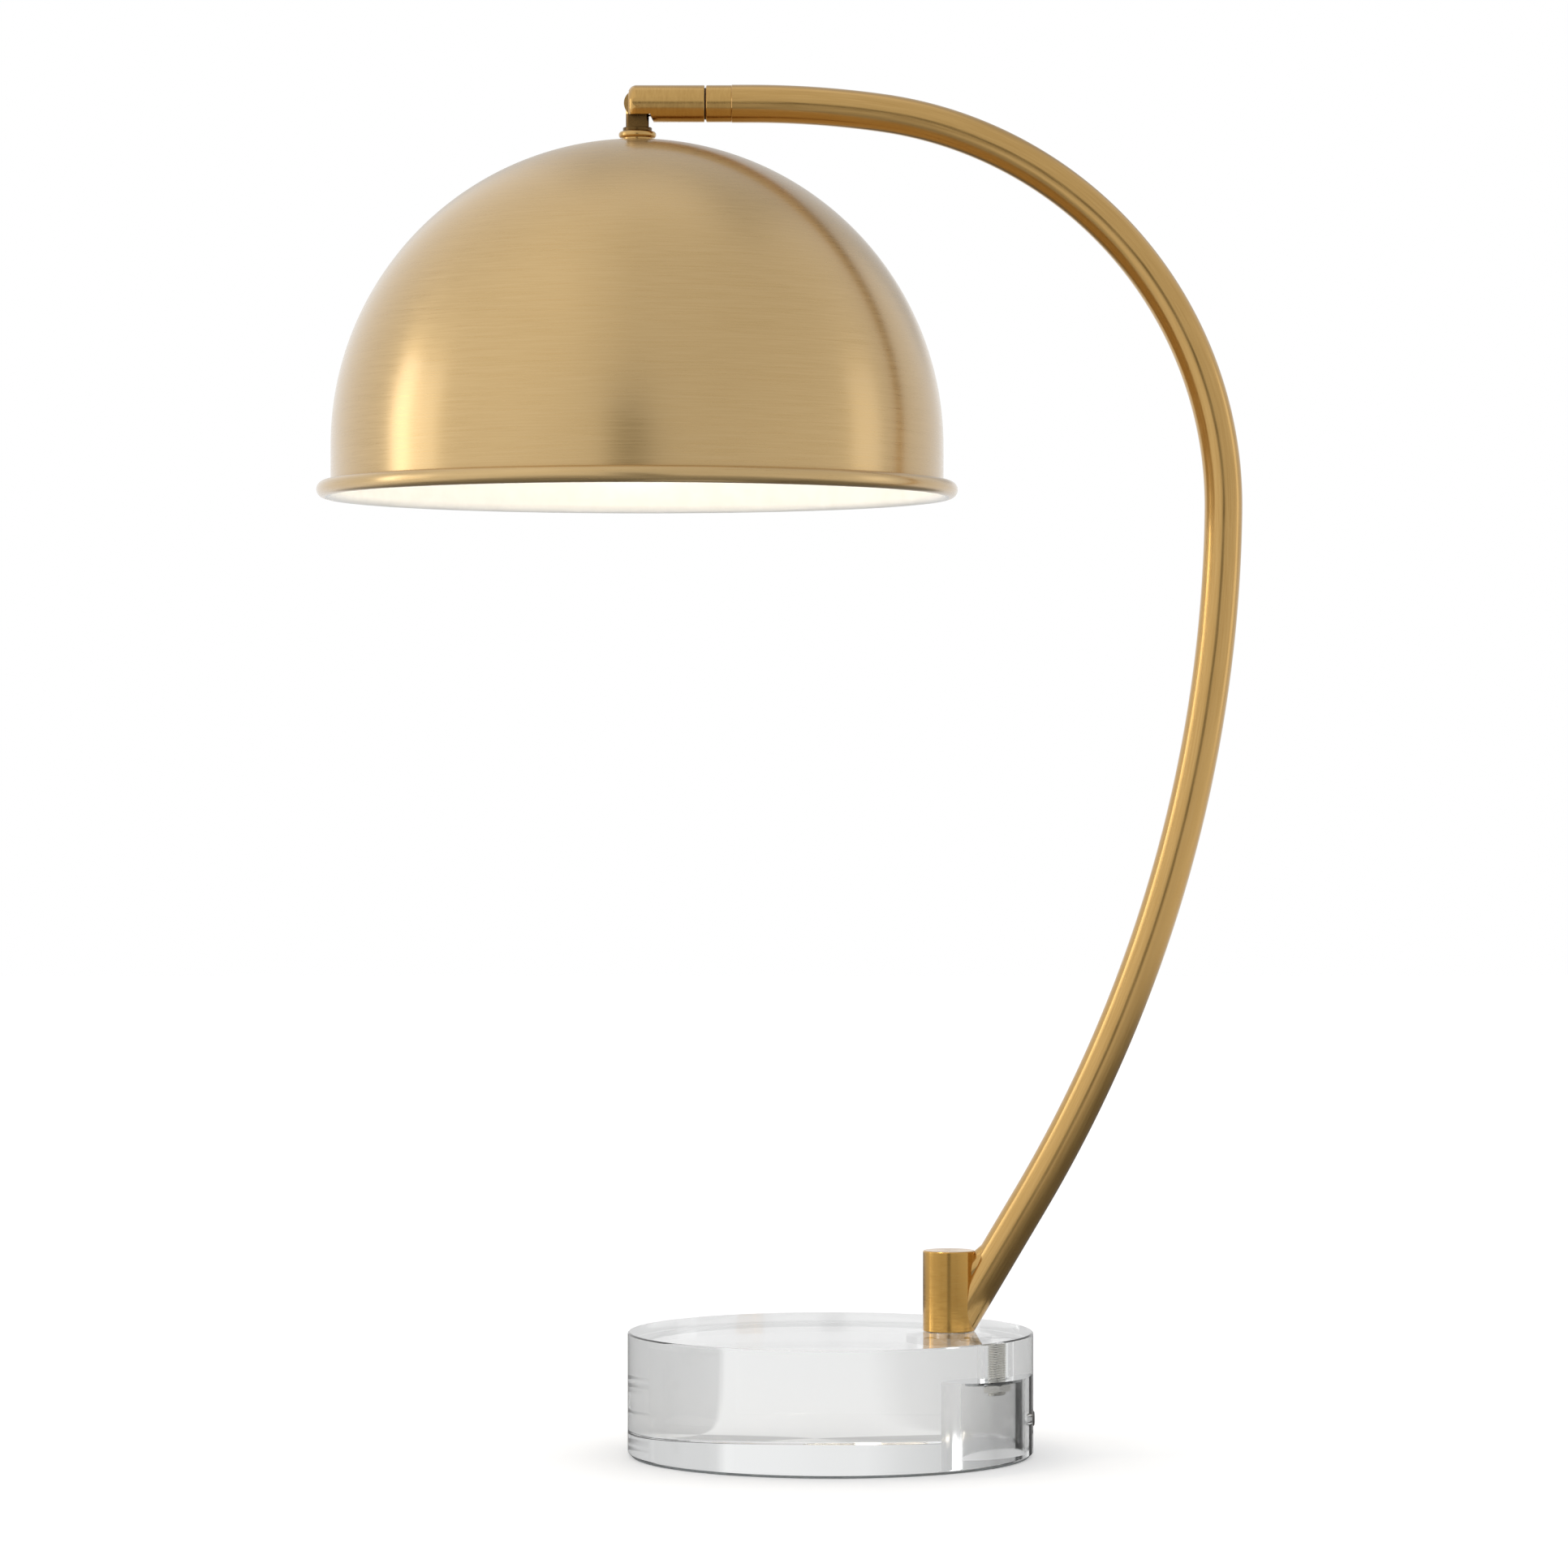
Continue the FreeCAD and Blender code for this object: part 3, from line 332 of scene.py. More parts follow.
def held(points):
    """The same outline with a point just beyond each rounding, so that the flats beside it stay flat
    in the light; the shortest are left as they are."""
    hold, least = 0.25, 2.5
    reach = []
    for i, point in enumerate(points):
        back, here, ahead = (Vector(p[:2]) for p in (points[i - 1], point, points[(i + 1) % len(points)]))
        turn = (back - here).angle(ahead - here)
        reach.append(point[2] / math.tan(turn / 2) + hold if len(point) > 2 else 0.0)
    full = []
    for i, point in enumerate(points):
        full.append(point)
        after = (i + 1) % len(points)
        way = Vector(points[after][:2]) - Vector(point[:2])
        if way.length - reach[i] - reach[after] < least:
            continue
        if reach[i]:
            full.append(tuple(Vector(point[:2]) + way.normalized() * reach[i]))
        if reach[after]:
            full.append(tuple(Vector(points[after][:2]) - way.normalized() * reach[after]))
    return full


def outline(bm, points, closed=True):
    """Draws a wire through (x, z) points in the XZ plane; a third number rounds that corner."""
    if closed:
        points = held(points)
    verts = [bm.verts.new((p[0], 0, p[1])) for p in points]
    count = len(verts)
    for i in range(count if closed else count - 1):
        bm.edges.new((verts[i], verts[(i + 1) % count]))
    for i, point in enumerate(points):
        if len(point) < 3:
            continue
        here = Vector(point[:2])
        back = (Vector(points[i - 1][:2]) - here).normalized()
        ahead = (Vector(points[(i + 1) % count][:2]) - here).normalized()
        tangent = point[2] / math.tan(back.angle(ahead) / 2)
        steps = max(3, round(point[2] * 3) + 3)
        bmesh.ops.bevel(bm, geom=[verts[i]], offset=tangent, offset_type="OFFSET", segments=steps,
                        profile=0.5, affect="VERTICES", material=-1)


def spun(shape, steps=96):
    """Solid of revolution about Z of a closed outline, or of a wire that is already drawn."""
    bm = shape
    if not isinstance(shape, bmesh.types.BMesh):
        bm = bmesh.new()
        outline(bm, shape)
    bmesh.ops.spin(bm, geom=bm.verts[:] + bm.edges[:], cent=(0, 0, 0), axis=(0, 0, 1), angle=2 * math.pi,
                   steps=steps, use_merge=True)
    bmesh.ops.remove_doubles(bm, verts=bm.verts[:], dist=0.0005)
    bmesh.ops.recalc_face_normals(bm, faces=bm.faces[:])
    return bm


def moved(bm, place, turn=None):
    """Turns a mesh about the origin and takes it to its place."""
    bmesh.ops.transform(bm, matrix=Matrix.Translation(place) @ (turn or Matrix()), verts=bm.verts[:])
    return bm


def swing(bm, vert, centre, degrees, steps):
    """Draws an arc from a point about a centre in the XZ plane; positive turns up towards +X."""
    done = bmesh.ops.spin(bm, geom=[vert], cent=centre, axis=(0, 1, 0), angle=math.radians(degrees),
                          steps=steps)
    return [v for v in done["geom_last"] if isinstance(v, bmesh.types.BMVert)][-1]


def draw(bm, vert, x, z):
    """Draws a straight line from a point to (x, z)."""
    done = bmesh.ops.extrude_vert_indiv(bm, verts=[vert])
    done["verts"][0].co = (x, 0, z)
    return done["verts"][0]


def blank(name, bm):
    """Object made from a mesh, with no coat yet."""
    mesh = bpy.data.meshes.new(name)
    bm.to_mesh(mesh)
    bm.free()
    obj = bpy.data.objects.new(name, mesh)
    bpy.context.scene.collection.objects.link(obj)
    return obj


def coated(obj, coats, sharp):
    """Gives an object its coats and smooth shading, with creases at its sharp edges."""
    for coat in coats:
        obj.data.materials.append(finish[coat])
    obj.data.shade_smooth()
    obj.data.set_sharp_from_angle(angle=math.radians(sharp))
    return obj


def show(obj, node):
    """Lets a piece stand for its node: it moves with the node's body, and the node's own part is hidden."""
    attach(obj, body_of[node])
    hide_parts(node)
    return obj


def piece(name, bm, node, coats, sharp=35):
    """Finished piece from a mesh in millimetres."""
    bmesh.ops.transform(bm, matrix=Matrix.Scale(mm, 4), verts=bm.verts[:])
    return show(coated(blank(name, bm), coats, sharp), node)


def dressed(name, node, coats, edge, foot=0.0, sharp=30):
    """Copy of a milled or moulded node with its edges broken, so that they catch a line of light;
    below the foot height it takes the second coat."""
    bm = bmesh.new()
    bm.from_mesh(frame["nodes"][node].data)
    bmesh.ops.remove_doubles(bm, verts=bm.verts[:], dist=0.000002)
    bmesh.ops.bisect_plane(bm, geom=bm.verts[:] + bm.edges[:] + bm.faces[:], plane_co=(0, 0, foot * mm),
                           plane_no=(0, 0, 1), dist=1e-7)
    for face in bm.faces:
        face.material_index = 1 if face.calc_center_median().z < foot * mm else 0
    obj = coated(blank(name, bm), coats, sharp)
    soften = obj.modifiers.new("edge", "BEVEL")
    soften.width = edge * mm
    soften.segments = 2
    soften.limit_method = "ANGLE"
    soften.angle_limit = math.radians(sharp)
    soften.harden_normals = True
    return show(obj, node)


# Base

def clear_block():
    """Polished block with the pocket, the stud hole and the lead's outlet bored into it."""
    edge, curve = 0.6, 0.2
    bm = spun([(0, base_low), (base_radius - edge, base_low, curve), (base_radius, base_low + edge, curve),
               (base_radius, base_top - edge, curve), (base_radius - edge, base_top, curve), (0, base_top)],
              steps=256)
    block = blank("block_blank", bm)
    stud_hole, outlet_hole, spot_hole, spot_deep = 6.8, 2.6, 3.3, 4.0
    outlet = middle("cable_bushing").z
    pocket_roof = high("clamp_washer").z
    over = 5  # how far a cutter runs past a face
    sideways = Matrix.Rotation(math.pi / 2, 4, "Y")
    bores = [(pocket_radius, pocket_roof + over, (post_x, 0, (pocket_roof - over) / 2), Matrix()),
             (stud_hole, base_top, (post_x, 0, pocket_roof + base_top / 2 - over), Matrix()),
             (outlet_hole, base_radius, (post_x + base_radius / 2, 0, outlet), sideways),
             (spot_hole, spot_deep, (bushing_face + spot_deep / 2, 0, outlet), sideways)]
    cutters = []
    for radius, depth, centre, turn in bores:
        bm = bmesh.new()
        bmesh.ops.create_cone(bm, cap_ends=True, segments=128, radius1=radius, radius2=radius, depth=depth)
        cutter = blank("bore", moved(bm, centre, turn))
        cutters.append(cutter)
        cut = block.modifiers.new("bore", "BOOLEAN")
        cut.object = cutter
        cut.solver = "EXACT"
    bpy.context.view_layer.update()
    bored = block.evaluated_get(bpy.context.evaluated_depsgraph_get())
    bm = bmesh.new()
    bm.from_mesh(bpy.data.meshes.new_from_object(bored))
    bmesh.ops.remove_doubles(bm, verts=bm.verts[:], dist=0.001)
    for spare in cutters + [block]:
        bpy.data.objects.remove(spare)
    # The pocket's wall takes the second coat, with its painted shade
    for face in bm.faces:
        spot = face.calc_center_median()
        reach = Vector((spot.x - post_x, spot.y)).length
        if pocket_radius - 0.5 < reach < pocket_radius + 0.1 and spot.z < pocket_roof - 0.5:
            face.material_index = 1
    return piece("clear_block", bm, "base_block", ["base_clear", "well_satin"], sharp=25)


def foot_ring():
    """Flat soft ring with its rubbing edges broken."""
    wide, edge = 6.0, 0.3
    outer, top = high("base_foot_ring").x, high("base_foot_ring").z - hair
    inner = outer - wide
    bm = spun([(inner, edge, 0.1), (inner + edge, 0, 0.1), (outer - edge, 0, 0.1), (outer, edge, 0.1),
               (outer, top), (inner, top)], steps=192)
    return piece("foot_ring", bm, "base_foot_ring", ["foot_clear"])


def bushing():
    """Headed sleeve, its shank eased at the inner end."""
    bore, shank, ease = 2.1, 2.55, 0.05
    lo, hi = low("cable_bushing"), high("cable_bushing")
    head, proud, back = (hi.z - lo.z) / 2, hi.x - bushing_face, lo.x - bushing_face
    bm = spun([(bore, back), (shank - ease, back), (shank, back + 0.1), (shank, 0), (head, 0),
               (head, proud, 0.7), (bore, proud, 0.2)], steps=64)
    moved(bm, (bushing_face, 0, (lo.z + hi.z) / 2), Matrix.Rotation(math.pi / 2, 4, "Y"))
    return piece("bushing", bm, "cable_bushing", ["bushing_dark"])


# Post and clamp

def post():
    """Short turned bar: threaded from below, drilled on for the lead, edges broken at both ends."""
    chamfer, curve, drill = 0.4, 0.15, 3.5
    top, thread_end, drill_end = high("post").z, base_top + 14.0, base_top + 24.0
    shoulder = post_radius - chamfer
    bm = spun([(thread_bore, base_top), (shoulder, base_top, curve),
               (post_radius, base_top + chamfer, curve), (post_radius, top - chamfer, curve),
               (shoulder, top, curve), (0, top), (0, drill_end), (drill, drill_end),
               (drill, thread_end), (thread_bore, thread_end)], steps=128)
    # The lower end takes the second coat
    for face in bm.faces:
        if face.calc_center_median().z < base_top + hair:
            face.material_index = 1
    return piece("turned_post", moved(bm, (post_x, 0, 0)), "post", ["post", "bare_end"])


def threaded_stud():
    """Hollow stud with its thread cut as a real helix, trimmed flat at both ends."""
    lo, hi = low("post_stud").z, high("post_stud").z
    pitch, root, crest, bore, steps = 1.0, 4.5, 5.0, 3.5, 48
    turns = math.ceil((hi - lo) / pitch) + 2
    bm = bmesh.new()
    outline(bm, [(root, 0), (root, 0.12 * pitch), (crest, 0.44 * pitch), (crest, 0.68 * pitch),
                 (root, pitch)], closed=False)
    bmesh.ops.spin(bm, geom=bm.verts[:] + bm.edges[:], cent=(0, 0, 0), axis=(0, 0, 1),
                   dvec=(0, 0, pitch / steps), angle=2 * math.pi * turns, steps=steps * turns)
    bmesh.ops.remove_doubles(bm, verts=bm.verts[:], dist=0.001)
    moved(bm, (0, 0, lo - 2 * pitch))
    for height, side in ((lo, -1), (hi, 1)):
        bmesh.ops.bisect_plane(bm, geom=bm.verts[:] + bm.edges[:] + bm.faces[:], plane_co=(0, 0, height),
                               plane_no=(0, 0, side), clear_outer=True, dist=0.0001)
    for height in (lo, hi):
        ring = [e for e in bm.edges
                if e.is_boundary and all(abs(v.co.z - height) < 0.01 for v in e.verts)]
        made = bmesh.ops.extrude_edge_only(bm, edges=ring)
        for vert in [v for v in made["geom"] if isinstance(v, bmesh.types.BMVert)]:
            flat = Vector((vert.co.x, vert.co.y, 0)).normalized() * bore
            vert.co = (flat.x, flat.y, height)
    rings = [e for e in bm.edges
             if e.is_boundary and all(Vector(v.co[:2]).length < root - 0.1 for v in e.verts)]
    bmesh.ops.bridge_loops(bm, edges=rings)
    bmesh.ops.recalc_face_normals(bm, faces=bm.faces[:])
    return piece("threaded_stud", moved(bm, (post_x, 0, 0)), "post_stud", ["steel_plated"], sharp=28)


def clamp_washer():
    """Broad washer under the pocket's roof."""
    wide = 16.0
    lo, hi = low("clamp_washer").z, high("clamp_washer").z - hair
    bm = spun([(thread_bore, lo), (wide, lo, 0.3), (wide, hi, 0.2), (thread_bore, hi)])
    return piece("clear_washer", moved(bm, (post_x, 0, 0)), "clamp_washer", ["washer_clear"])


# Arm

arm_radius, arm_wall, lean = 8.0, 1.5, 30.66
# From the weld up: length of a straight, or radius and degrees of a bend
bends = ((66.5, 0, 0), (0, 586.3, 29.92), (0, 167.2, 82.72), (0, 399.2, 8.02), (8.0, 0, 0))


def arm_stations():
    """Each straight and bend of the tube: its start, heading, distance from the foot, length, radius
    and turn."""
    heading = math.radians(90 - lean)
    past = post_radius - arm_radius / math.cos(math.radians(lean))
    point = Vector((post_x, 0, arm_foot - past / math.tan(math.radians(lean))))
    done = 0.0
    stations = []
    for length, radius, turn in bends:
        angle = math.radians(turn)
        stations.append((point.copy(), heading, done, length, radius, angle))
        if radius:
            centre = point + Vector((-math.sin(heading), 0, math.cos(heading))) * radius
            point = centre + Matrix.Rotation(-angle, 3, "Y") @ (point - centre)
            heading += angle
            done += radius * angle
        else:
            point = point + Vector((math.cos(heading), 0, math.sin(heading))) * length
            done += length
    return stations


def along_arm(point, stations):
    """How far along the tube a point lies, and its place across the tube."""
    best = None
    for start, heading, done, length, radius, angle in stations:
        ahead = Vector((math.cos(heading), 0, math.sin(heading)))
        side = Vector((-math.sin(heading), 0, math.cos(heading)))
        if radius:
            arrow = point - (start + side * radius)
            run = math.atan2(arrow.dot(ahead), -arrow.dot(side)) * radius
            across = radius - math.hypot(arrow.x, arrow.z)
            span = radius * angle
        else:
            run = (point - start).dot(ahead)
            across = (point - start).dot(side)
            span = length
        miss = max(0.0, -run, run - span)
        if best is None or miss < best[0] - 1e-6:
            best = (miss, done + run, across)
    return best[1], best[2], point.y


def sweep(bm, stations):
    """Drives a ring through the straights and bends of the tube."""
    start, heading = stations[0][:2]
    ring = bmesh.ops.create_circle(bm, segments=96, radius=arm_radius)["verts"]
    turn = Matrix.Rotation(math.pi / 2 - heading, 4, "Y")
    bmesh.ops.transform(bm, matrix=Matrix.Translation(start) @ turn, verts=ring)
    edges = bm.edges[:]
    for point, heading, _, length, radius, angle in stations:
        if radius:
            centre = point + Vector((-math.sin(heading), 0, math.cos(heading))) * radius
            steps = max(6, round(radius * angle / 2.0))
            made = bmesh.ops.spin(bm, geom=edges, cent=centre, axis=(0, 1, 0), angle=-angle, steps=steps)
            edges = [e for e in made["geom_last"] if isinstance(e, bmesh.types.BMEdge)]
        else:
            ahead = Vector((math.cos(heading), 0, math.sin(heading)))
            steps = max(2, round(length / 3.0))
            for _ in range(steps):
                made = bmesh.ops.extrude_edge_only(bm, edges=edges)["geom"]
                edges = [e for e in made if isinstance(e, bmesh.types.BMEdge)]
                fresh = [v for v in made if isinstance(v, bmesh.types.BMVert)]
                bmesh.ops.translate(bm, vec=ahead * length / steps, verts=fresh)
    bmesh.ops.remove_doubles(bm, verts=bm.verts[:], dist=0.001)


def face_end(bm):
    """Faces the tube's free end: a small chamfer, then in to the wall's thickness."""
    chamfer = 0.2
    rim = {v for v in bm.verts
           if abs(v.co.x - arm_end.x) < 0.01 and abs(v.co.z - pivot.z) < arm_radius + 1}
    edges = [e for e in bm.edges if e.is_boundary and all(v in rim for v in e.verts)]
    for inset in (chamfer, arm_wall):
        made = bmesh.ops.extrude_edge_only(bm, edges=edges)["geom"]
        edges = [e for e in made if isinstance(e, bmesh.types.BMEdge)]
        for vert in [v for v in made if isinstance(v, bmesh.types.BMVert)]:
            flat = Vector((0, vert.co.y, vert.co.z - pivot.z)).normalized() * (arm_radius - inset)
            vert.co = (vert.co.x, flat.y, flat.z + pivot.z)
    for vert in rim:
        vert.co.x += chamfer


def add_weld(bm, start):
    """Narrow web of dressed weld: a bar laid from the post's top edge against the leaning tube."""
    weld, above, bite = 6.0, 3.6, 0.1
    crotch = Vector((post_x + post_radius, 0, high("post").z))
    axis = Vector((math.sin(math.radians(lean)), 0, math.cos(math.radians(lean))))
    side = Vector((-axis.z, 0, axis.x))
    touch = start + axis * ((crotch - start).dot(axis) + above) + side * (arm_radius - bite)
    slope = (touch - crotch).normalized()
    long = (touch - crotch).length + 2 * arm_radius
    bar = bmesh.ops.create_cone(bm, cap_ends=True, segments=96, radius1=weld, radius2=weld, depth=long)
    lie = Matrix.Rotation(math.atan2(slope.x, slope.z), 4, "Y")
    heart = touch + Vector((slope.z, 0, -slope.x)) * weld - slope * long / 2
    bmesh.ops.transform(bm, matrix=Matrix.Translation(heart) @ lie, verts=bar["verts"])


def map_lengthwise(mesh, stations):
    """Stores each point's place along and across the tube, which the streaks and the highlight follow."""
    tile = 50.0
    places = [along_arm(v.co / mm, stations) for v in mesh.vertices]
    run = mesh.attributes.new("run", "FLOAT_VECTOR", "POINT")
    for i, (far, across, out) in enumerate(places):
        run.data[i].vector = (across * mm, out * mm, far * mm)
    layer = mesh.uv_layers.new(name="lie")
    for face in mesh.polygons:
        middle_y = sum(places[i][2] for i in face.vertices) / len(face.vertices)
        for loop in face.loop_indices:
            far, across, out = places[mesh.loops[loop].vertex_index]
            angle = math.atan2(out, across)
            # A point on the seam takes the side that its face lies on
            if angle * middle_y < 0 and abs(angle) > 2:
                angle = -angle
            layer.data[loop].uv = (far / tile, angle / (2 * math.pi))


def arm_tube():
    """One tube swept through straights and bends, welded to the post and cut level above the block."""
    stations = arm_stations()
    bm = bmesh.new()
    sweep(bm, stations)
    face_end(bm)
    add_weld(bm, stations[0][0])
    bmesh.ops.bisect_plane(bm, geom=bm.verts[:] + bm.edges[:] + bm.faces[:], plane_co=(0, 0, arm_foot),
                           plane_no=(0, 0, -1), clear_outer=True, dist=0.0001)
    bmesh.ops.recalc_face_normals(bm, faces=bm.faces[:])
    obj = piece("bowed_tube", bm, "arm_tube", ["tube"])
    map_lengthwise(obj.data, stations)
    return obj


# Swivel and tilt joint

def ferrule():
    """Turned end piece with a light chamfer against the joint washer."""
    face = low("arm_ferrule").x
    long, plug = arm_end.x - face, high("arm_ferrule").x - arm_end.x
    radius = (high("arm_ferrule").z - low("arm_ferrule").z) / 2
    nose, shank, taper, chamfer, ease = 6.1, 6.42, 0.35, 0.4, 0.15
    bm = spun([(tail_bore, -plug), (nose, -plug), (shank, taper - plug), (shank, -hair),
               (radius - ease, -hair), (radius, ease), (radius, long - chamfer, 0.2),
               (radius - chamfer, long), (tail_bore, long)], steps=128)
    moved(bm, arm_end, Matrix.Rotation(-math.pi / 2, 4, "Y"))
    return piece("ferrule", bm, "arm_ferrule", ["joint"])


def joint_washer():
    """Thin friction ring between ferrule and fork."""
    lo, hi = low("swivel_washer"), high("swivel_washer")
    radius, thick = (hi.z - lo.z) / 2, hi.x - lo.x
    bm = spun([(tail_bore, 0), (radius, 0, 0.1), (radius, thick, 0.1), (tail_bore, thick)])
    moved(bm, (hi.x, 0, pivot.z), Matrix.Rotation(-math.pi / 2, 4, "Y"))
    return piece("joint_washer", bm, "swivel_washer", ["washer_dark"])


def check_ring():
    """Rounded ring on a low step, on top of the dome."""
    step_radius, radius, step, curve = 6.5, 7.9, 0.8, 1.2
    lo, hi = low("check_ring").z, high("check_ring").z
    bm = spun([(thread_bore, lo + hair), (step_radius, lo + hair, 0.1), (step_radius, lo + step),
               (radius, lo + step, curve), (radius, hi, curve), (thread_bore, hi)])
    return piece("dome_ring", moved(bm, (pivot.x, 0, 0)), "check_ring", ["neck"])


# Shade

def dome_shade():
    """Spun dome with a straight skirt and a rolled bead; enamelled inside."""
    hole = 5.2
    top = math.degrees(math.asin(hole / dome_radius))
    inner_top = math.degrees(math.asin(hole / dome_inside))
    start = math.degrees(math.acos((dome_radius - bead_x) / bead_radius))
    centre = Vector((0, 0, dome_z))
    bm = bmesh.new()
    first = bm.verts.new((hole, 0, dome_z + math.sqrt(dome_radius ** 2 - hole ** 2)))
    vert = swing(bm, first, centre, 90 - top, 64)
    vert = draw(bm, vert, dome_radius, (dome_z + bead_z) / 2)
    vert = draw(bm, vert, dome_radius, bead_z + bead_radius * math.sin(math.radians(start)))
    vert = swing(bm, vert, Vector((bead_x, 0, bead_z)), start + 180, 36)
    vert = draw(bm, vert, dome_inside, dome_z)
    vert = swing(bm, vert, centre, inner_top - 90, 48)
    bm.edges.new((vert, first))
    bm = spun(bm, steps=256)
    # The inside takes the enamel
    for face in bm.faces:
        spot = face.calc_center_median()
        reach = (spot - centre).length if spot.z > dome_z else Vector(spot[:2]).length
        inner = reach < dome_radius - dome_sheet / 2 and spot.z > bead_z
        if inner or (spot.z < bead_z and reach < bead_x):
            face.material_index = 1
    return piece("dome_shade", moved(bm, (pivot.x, 0, 0)), "shade", ["dome", "enamel"], sharp=40)


# Lampholder and bulb

def bulb_body():
    """Tapered body between the cap and the cover's seam."""
    neck, plug, band = 14.0, 12.7, 2.0
    seam, lip = low("bulb_body").z, high("bulb_body").z
    waist = seam + 30.0
    bm = spun([(0, seam), (bulb_seam, seam, 0.3), (bulb_seam, seam + band, 1.5),
               (neck, waist - band, 2.0), (neck, waist, 0.3), (plug, waist), (plug, lip), (0, lip)],
              steps=128)
    return piece("bulb_neck", moved(bm, (pivot.x, 0, 0)), "bulb_body", ["bulb_white"])


def bulb_cover():
    """Hollow opal ball, cut off at its seam."""
    end, seam = low("bulb_diffuser").z, high("bulb_diffuser").z
    ball, wall = 30.0, 1.2
    inner_ball, inner_seam = ball - wall, bulb_seam - wall
    centre = end + ball
    lip = math.degrees(math.asin(bulb_seam / ball))
    inner_lip = math.degrees(math.asin(inner_seam / inner_ball))
    bm = bmesh.new()
    first = bm.verts.new((0, 0, end))
    vert = swing(bm, first, Vector((0, 0, centre)), -(180 - lip), 48)
    vert = draw(bm, vert, bulb_seam, seam)
    vert = draw(bm, vert, inner_seam, seam)
    vert = draw(bm, vert, inner_seam, centre + inner_ball * math.cos(math.radians(inner_lip)))
    vert = swing(bm, vert, Vector((0, 0, centre)), 180 - inner_lip, 32)
    vert.co.x = 0
    bm = spun(bm, steps=128)
    return piece("bulb_cover", moved(bm, (pivot.x, 0, 0)), "bulb_diffuser", ["bulb_opal"])


# Below this height the tongue takes the stem coat: painted shade and painted reflection on its neck
stem_top = pivot.z - 4.5

clear_block()
foot_ring()
bushing()
post()
threaded_stud()
clamp_washer()
arm_tube()
ferrule()
joint_washer()
dressed("fork", "swivel_body", ["joint"], edge=0.18)
dressed("hinge_pin", "pivot_pin", ["joint"], edge=0.1)
# The tongue's neck below stem_top is painted darker: painted shade and painted reflection
dressed("round_eye_tongue", "tilt_tongue", ["neck", "stem"], edge=0.15, foot=stem_top)
check_ring()
dome_shade()
bulb_body()
bulb_cover()

# Parts shown as imported from model.glb take the finish of their own slot
for node, obj in frame["nodes"].items():
    if not obj.hide_render:
        obj.material_slots[0].material = finish[slot_of[node]]


# Floor, backdrop and light

def floor_in_brass(tree, spot):
    """Floor as the brass mirrors it: darker around the lamp, and in a lane towards the camera."""
    across = add(tree, "MapRange", {"From Min": -0.4, "From Max": 0.4}, {"Value": spot.outputs[0]})
    shone = add(tree, "ValToRGB", {"stops": [(0.0, 0.98), (0.4, 0.92), (0.6, 0.8), (1.0, 0.92)]},
                {0: across})
    slant = add(tree, "Math", {"operation": "DIVIDE"}, {0: spot.outputs[0], 1: spot.outputs[1]})
    slant = add(tree, "Math", {"operation": "ABSOLUTE"}, {0: slant})
    lane = add(tree, "MapRange", {"interpolation_type": "SMOOTHSTEP", "From Min": 0.06, "From Max": 0.22,
                                  "To Min": 0.6, "To Max": 0.0}, {"Value": slant})
    ahead = add(tree, "MapRange", {"interpolation_type": "SMOOTHSTEP", "From Min": -0.2, "From Max": -0.5},
                {"Value": spot.outputs[1]})
    lane = add(tree, "Math", {"operation": "MULTIPLY"}, {0: lane, 1: ahead})
    fore = add(tree, "MapRange", {"interpolation_type": "SMOOTHSTEP", "From Min": -1.2, "From Max": -0.6},
               {"Value": spot.outputs[1]})
    aft = add(tree, "MapRange", {"interpolation_type": "SMOOTHSTEP", "From Min": 1.4, "From Max": 0.8},
              {"Value": spot.outputs[1]})
    deep = add(tree, "MapRange", {"interpolation_type": "SMOOTHSTEP", "From Min": -0.4, "From Max": -0.05,
                                  "To Min": 0.58, "To Max": 0.84}, {"Value": spot.outputs[1]})
    around = add(tree, "Math", {"operation": "MULTIPLY"}, {0: fore, 1: aft})
    around = add(tree, "Math", {"operation": "MULTIPLY"}, {0: around, 1: deep})
    aside = add(tree, "Math", {"operation": "ABSOLUTE"}, {0: spot.outputs[0]})
    aside = add(tree, "MapRange", {"interpolation_type": "SMOOTHSTEP", "From Min": 0.8, "From Max": 0.45},
                {"Value": aside})
    around = add(tree, "Math", {"operation": "MULTIPLY"}, {0: around, 1: aside})
    dark = add(tree, "Math", {"operation": "MAXIMUM"}, {0: lane, 1: around})
    keep = add(tree, "Math", {"operation": "SUBTRACT", 0: 1.0}, {1: dark})
    return add(tree, "Mix", {"data_type": "RGBA", "blend_type": "MULTIPLY", 0: 1.0},
               {6: shone, 7: keep}).outputs[2]


def floor_through_block(tree, spot):
    """Floor as the block shows it: a pale fan from a point at its back, darker to both sides."""
    fan_point = 0.116
    beyond = add(tree, "Math", {"operation": "SUBTRACT", 1: fan_point}, {0: spot.outputs[1]})
    angle = add(tree, "Math", {"operation": "DIVIDE"}, {0: spot.outputs[0], 1: beyond})
    angle = add(tree, "MapRange", {"From Min": -1.0, "From Max": 1.0}, {"Value": angle})
    return add(tree, "ValToRGB", {"stops": [(0.0, 0.54), (0.32, 0.62), (0.39, 0.67), (0.45, 0.81),
                                            (0.69, 0.85), (0.71, 0.6), (1.0, 0.55)]}, {0: angle})


